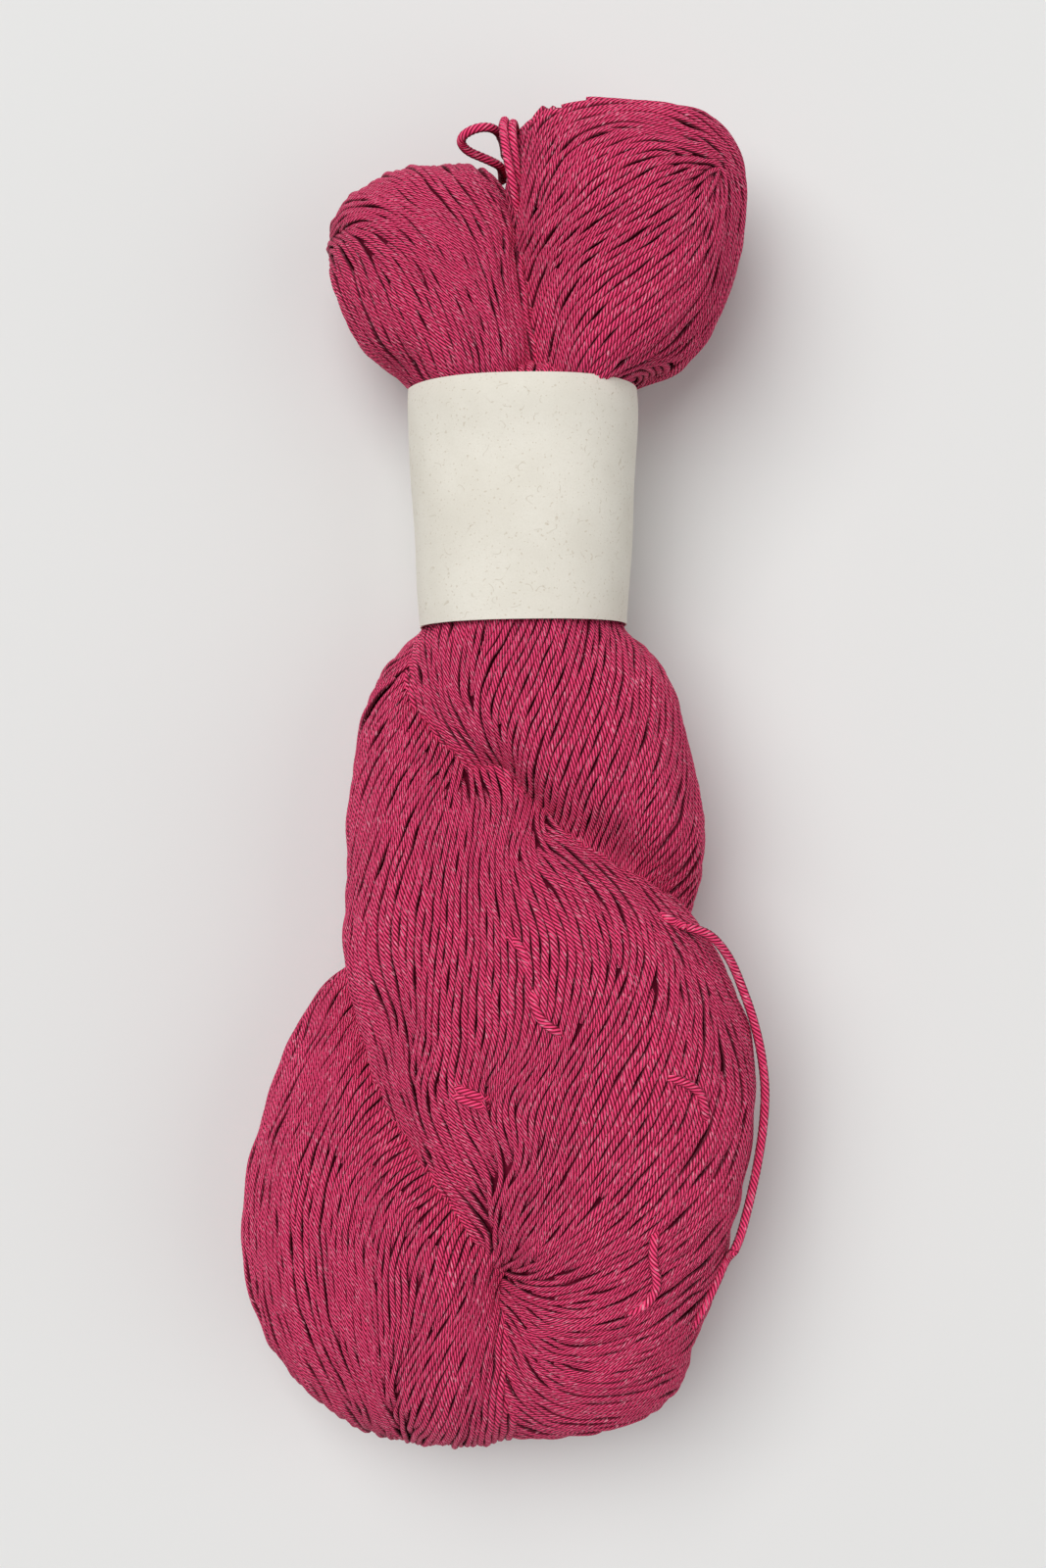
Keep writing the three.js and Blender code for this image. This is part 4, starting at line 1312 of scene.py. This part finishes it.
def lay_bundles(sizes, colours):
    """The strands of every bundle, and the core under them, dark with painted shade."""
    shift = hank_shift()
    material = yarn_material(colours, "yarn_packed", PACKED_BUMP)
    bundles = {name: Bundle(name, rows, lay, shift, sway_of(name)) for name, (rows, lay) in BUNDLES.items()}
    radius = sizes.packed_diameter / MM / 2
    for name, bundle in bundles.items():
        bundle.bury([other for other in bundles.values() if other is not bundle])
        layer = StrandLayer(bundle, sizes.spacing / MM, name)
        rng = np.random.default_rng(len(layer.strands))
        furrows = hills(len(name) + FURROW_SEED, FURROW_WIDTH)
        lines = [settled_strand(strand, beside, radius, furrows, rng)
                 for strand, beside in spread_out(layer.strands)]
        for number, share in enumerate(shared_out(lines)):
            piece = tube_mesh(f"yarn_{name}_{number + 1}", share, STRAND_SIDES)
            finish_piece(piece, material, "yarn", "hank")
    lay_crossing(sizes, colours, bundles.values())
    lay_core(shift, colours)


def lay_crossing(sizes, colours, bundles):
    """The strands in the groove and the short stretches that lie across the others."""
    shift = np.append(hank_shift(), 0)
    ends = {point[:2]: point[2] for point in (LOOSE_STRAND[0], LOOSE_STRAND[-1])}
    routes = [np.array(route) + shift for route in GROOVE_STRANDS]
    for row in CROSSING_STRANDS:
        placed = []
        for x, y, rise in row:
            over = Vector((x + shift[0], y + shift[1], ABOVE_ALL))
            hits = [bundle.tree.ray_cast(over, Vector((0, 0, -1)))[0] for bundle in bundles]
            top = max(hit.z for hit in hits if hit)
            placed.append((over.x, over.y, ends[x, y] if rise is None else top + rise - CROSSING_SINK))
        routes.append(np.array(placed))
    lines = loose_lines(routes, CROSSING_SPANS, sizes)
    piece = tube_mesh("yarn_crossing", lines, LOOSE_SIDES, LOOSE_RELIEF)
    finish_piece(piece, loose_yarn(colours), "yarn", "hank")


def shared_out(lines):
    """The strands shared out into groups of about MOST_TRIANGLES triangles or fewer."""
    total = sum(2 * STRAND_SIDES * len(line[0]) for line in lines)
    groups = math.ceil(total / MOST_TRIANGLES)
    return [lines[start::groups] for start in range(groups)]


def lay_core(shift, colours):
    """A body a little under the strands, which closes the view between them; its colour is painted shade."""
    points, faces = [], []
    for name, (rows, _) in BUNDLES.items():
        shell = skin(name, rows, shift, CORE_STEP, CORE_SIDES)
        normals = outward_normals(shell)
        faces += [[corner + len(points) for corner in face] for face in skin_quads(shell, normals)]
        points += (shell - normals * CORE_DEPTH).reshape(-1, 3).tolist()
    corners = np.concatenate(faces)
    starts = np.cumsum([0] + [len(face) for face in faces[:-1]])
    core = mesh_of("yarn_core", np.array(points), corners, starts)
    finish_piece(core, painted_shade_core_material(colours), "yarn", "hank")


def wrap_band(sizes, colours):
    """A strip of paper wrapped round the neck, its end lapped over its start."""
    shift = hank_shift()
    bpy.ops.object.select_all(action="DESELECT")
    bpy.ops.mesh.primitive_grid_add(x_subdivisions=BAND_GRID[0], y_subdivisions=BAND_GRID[1], size=1.0)
    band = bpy.context.object
    band.name = band.data.name = "paper_band"
    flat = np.zeros(len(band.data.vertices) * 3)
    band.data.vertices.foreach_get("co", flat)
    share = flat.reshape(-1, 3)[:, :2] + 0.5
    rows = np.array(NECK)
    angle = LAP_AT - share[:, 0] * (2 * np.pi + LAP_TURN)
    y = BAND_FROM + share[:, 1] * (BAND_TO - BAND_FROM)
    skewed = y + BAND_SKEW * np.cos(angle)
    fine = spline(rows[::-1], [NECK_SPANS] * (len(rows) - 1))
    left, right, low, high = (np.interp(y, fine[:, 1], fine[:, part]) for part in (0, 2, 4, 5))
    spots = np.stack([np.cos(angle) * DENT_REACH, y, np.sin(angle) * DENT_REACH], -1)
    dent = DENT_DEPTH * hills(DENT_SEED, DENT_WIDTH)(spots)
    wound = np.clip(share[:, 0] / BAND_TAPER, 0, 1)
    margin = BAND_INNER + (BAND_OUTER - BAND_INNER) * (1 - wound) + dent
    across, up = oval(angle)
    x = (left + right) / 2 + ((right - left) / 2 + margin) * across
    z = (low + high) / 2 + ((high - low) / 2 + margin) * up
    placed = np.stack([x + shift[0], skewed + shift[1], z], -1) * MM
    band.data.vertices.foreach_set("co", placed.reshape(-1))
    band.data.update()
    bpy.ops.object.mode_set(mode="EDIT")
    bpy.ops.mesh.select_all(action="SELECT")
    bpy.ops.mesh.flip_normals()
    bpy.ops.object.mode_set(mode="OBJECT")
    wall = band.modifiers.new("paper", "SOLIDIFY")
    wall.thickness = sizes.paper_thickness
    wall.offset = -1.0
    bpy.ops.object.modifier_apply(modifier=wall.name)
    bpy.ops.object.shade_smooth_by_angle(angle=math.radians(40))
    finish_piece(band, paper_material(colours), "paper", "band")


class HANK_OT_stage(Operator):
    """Set out the pale floor, the soft light and the camera above the hank"""

    bl_idname = "hank.stage"
    bl_label = "Floor, light and camera"

    def execute(self, context):
        lay_stage(context.scene.hank_sizes, context.scene.hank_colours)
        return {"FINISHED"}


class HANK_OT_loose_ends(Operator):
    """Lay the small loop and the loose strand on their routes"""

    bl_idname = "hank.loose_ends"
    bl_label = "Loose loop and strand"

    def execute(self, context):
        lay_loose_ends(context.scene.hank_sizes, context.scene.hank_colours)
        return {"FINISHED"}


class HANK_OT_bundles(Operator):
    """Lay the strands of the twisted bundles, one beside the other"""

    bl_idname = "hank.bundles"
    bl_label = "Twisted bundles"

    def execute(self, context):
        lay_bundles(context.scene.hank_sizes, context.scene.hank_colours)
        return {"FINISHED"}


class HANK_OT_band(Operator):
    """Wrap the paper band round the neck of the hank"""

    bl_idname = "hank.band"
    bl_label = "Paper band"

    def execute(self, context):
        wrap_band(context.scene.hank_sizes, context.scene.hank_colours)
        return {"FINISHED"}


class HANK_PT_make(Panel):
    """The steps of the hank, with its sizes and colours"""

    bl_label = "Hank of sock yarn"
    bl_space_type = "VIEW_3D"
    bl_region_type = "UI"
    bl_category = "Hank"

    def draw(self, context):
        for step in STEPS:
            self.layout.operator(step.bl_idname)
        for group in (context.scene.hank_sizes, context.scene.hank_colours):
            box = self.layout.box()
            for name in group.__annotations__:
                box.prop(group, name)


STEPS = (HANK_OT_stage, HANK_OT_loose_ends, HANK_OT_bundles, HANK_OT_band)
CLASSES = (HankSizes, HankColours) + STEPS + (HANK_PT_make,)


def register():
    for kind in CLASSES:
        bpy.utils.register_class(kind)
    bpy.types.Scene.hank_sizes = PointerProperty(type=HankSizes)
    bpy.types.Scene.hank_colours = PointerProperty(type=HankColours)


def unregister():
    del bpy.types.Scene.hank_colours
    del bpy.types.Scene.hank_sizes
    for kind in reversed(CLASSES):
        bpy.utils.unregister_class(kind)


def main():
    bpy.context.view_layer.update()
    register()
    bpy.ops.hank.stage()
    bpy.ops.hank.loose_ends()
    bpy.ops.hank.bundles()
    bpy.ops.hank.band()


if __name__ == "__main__":
    main()
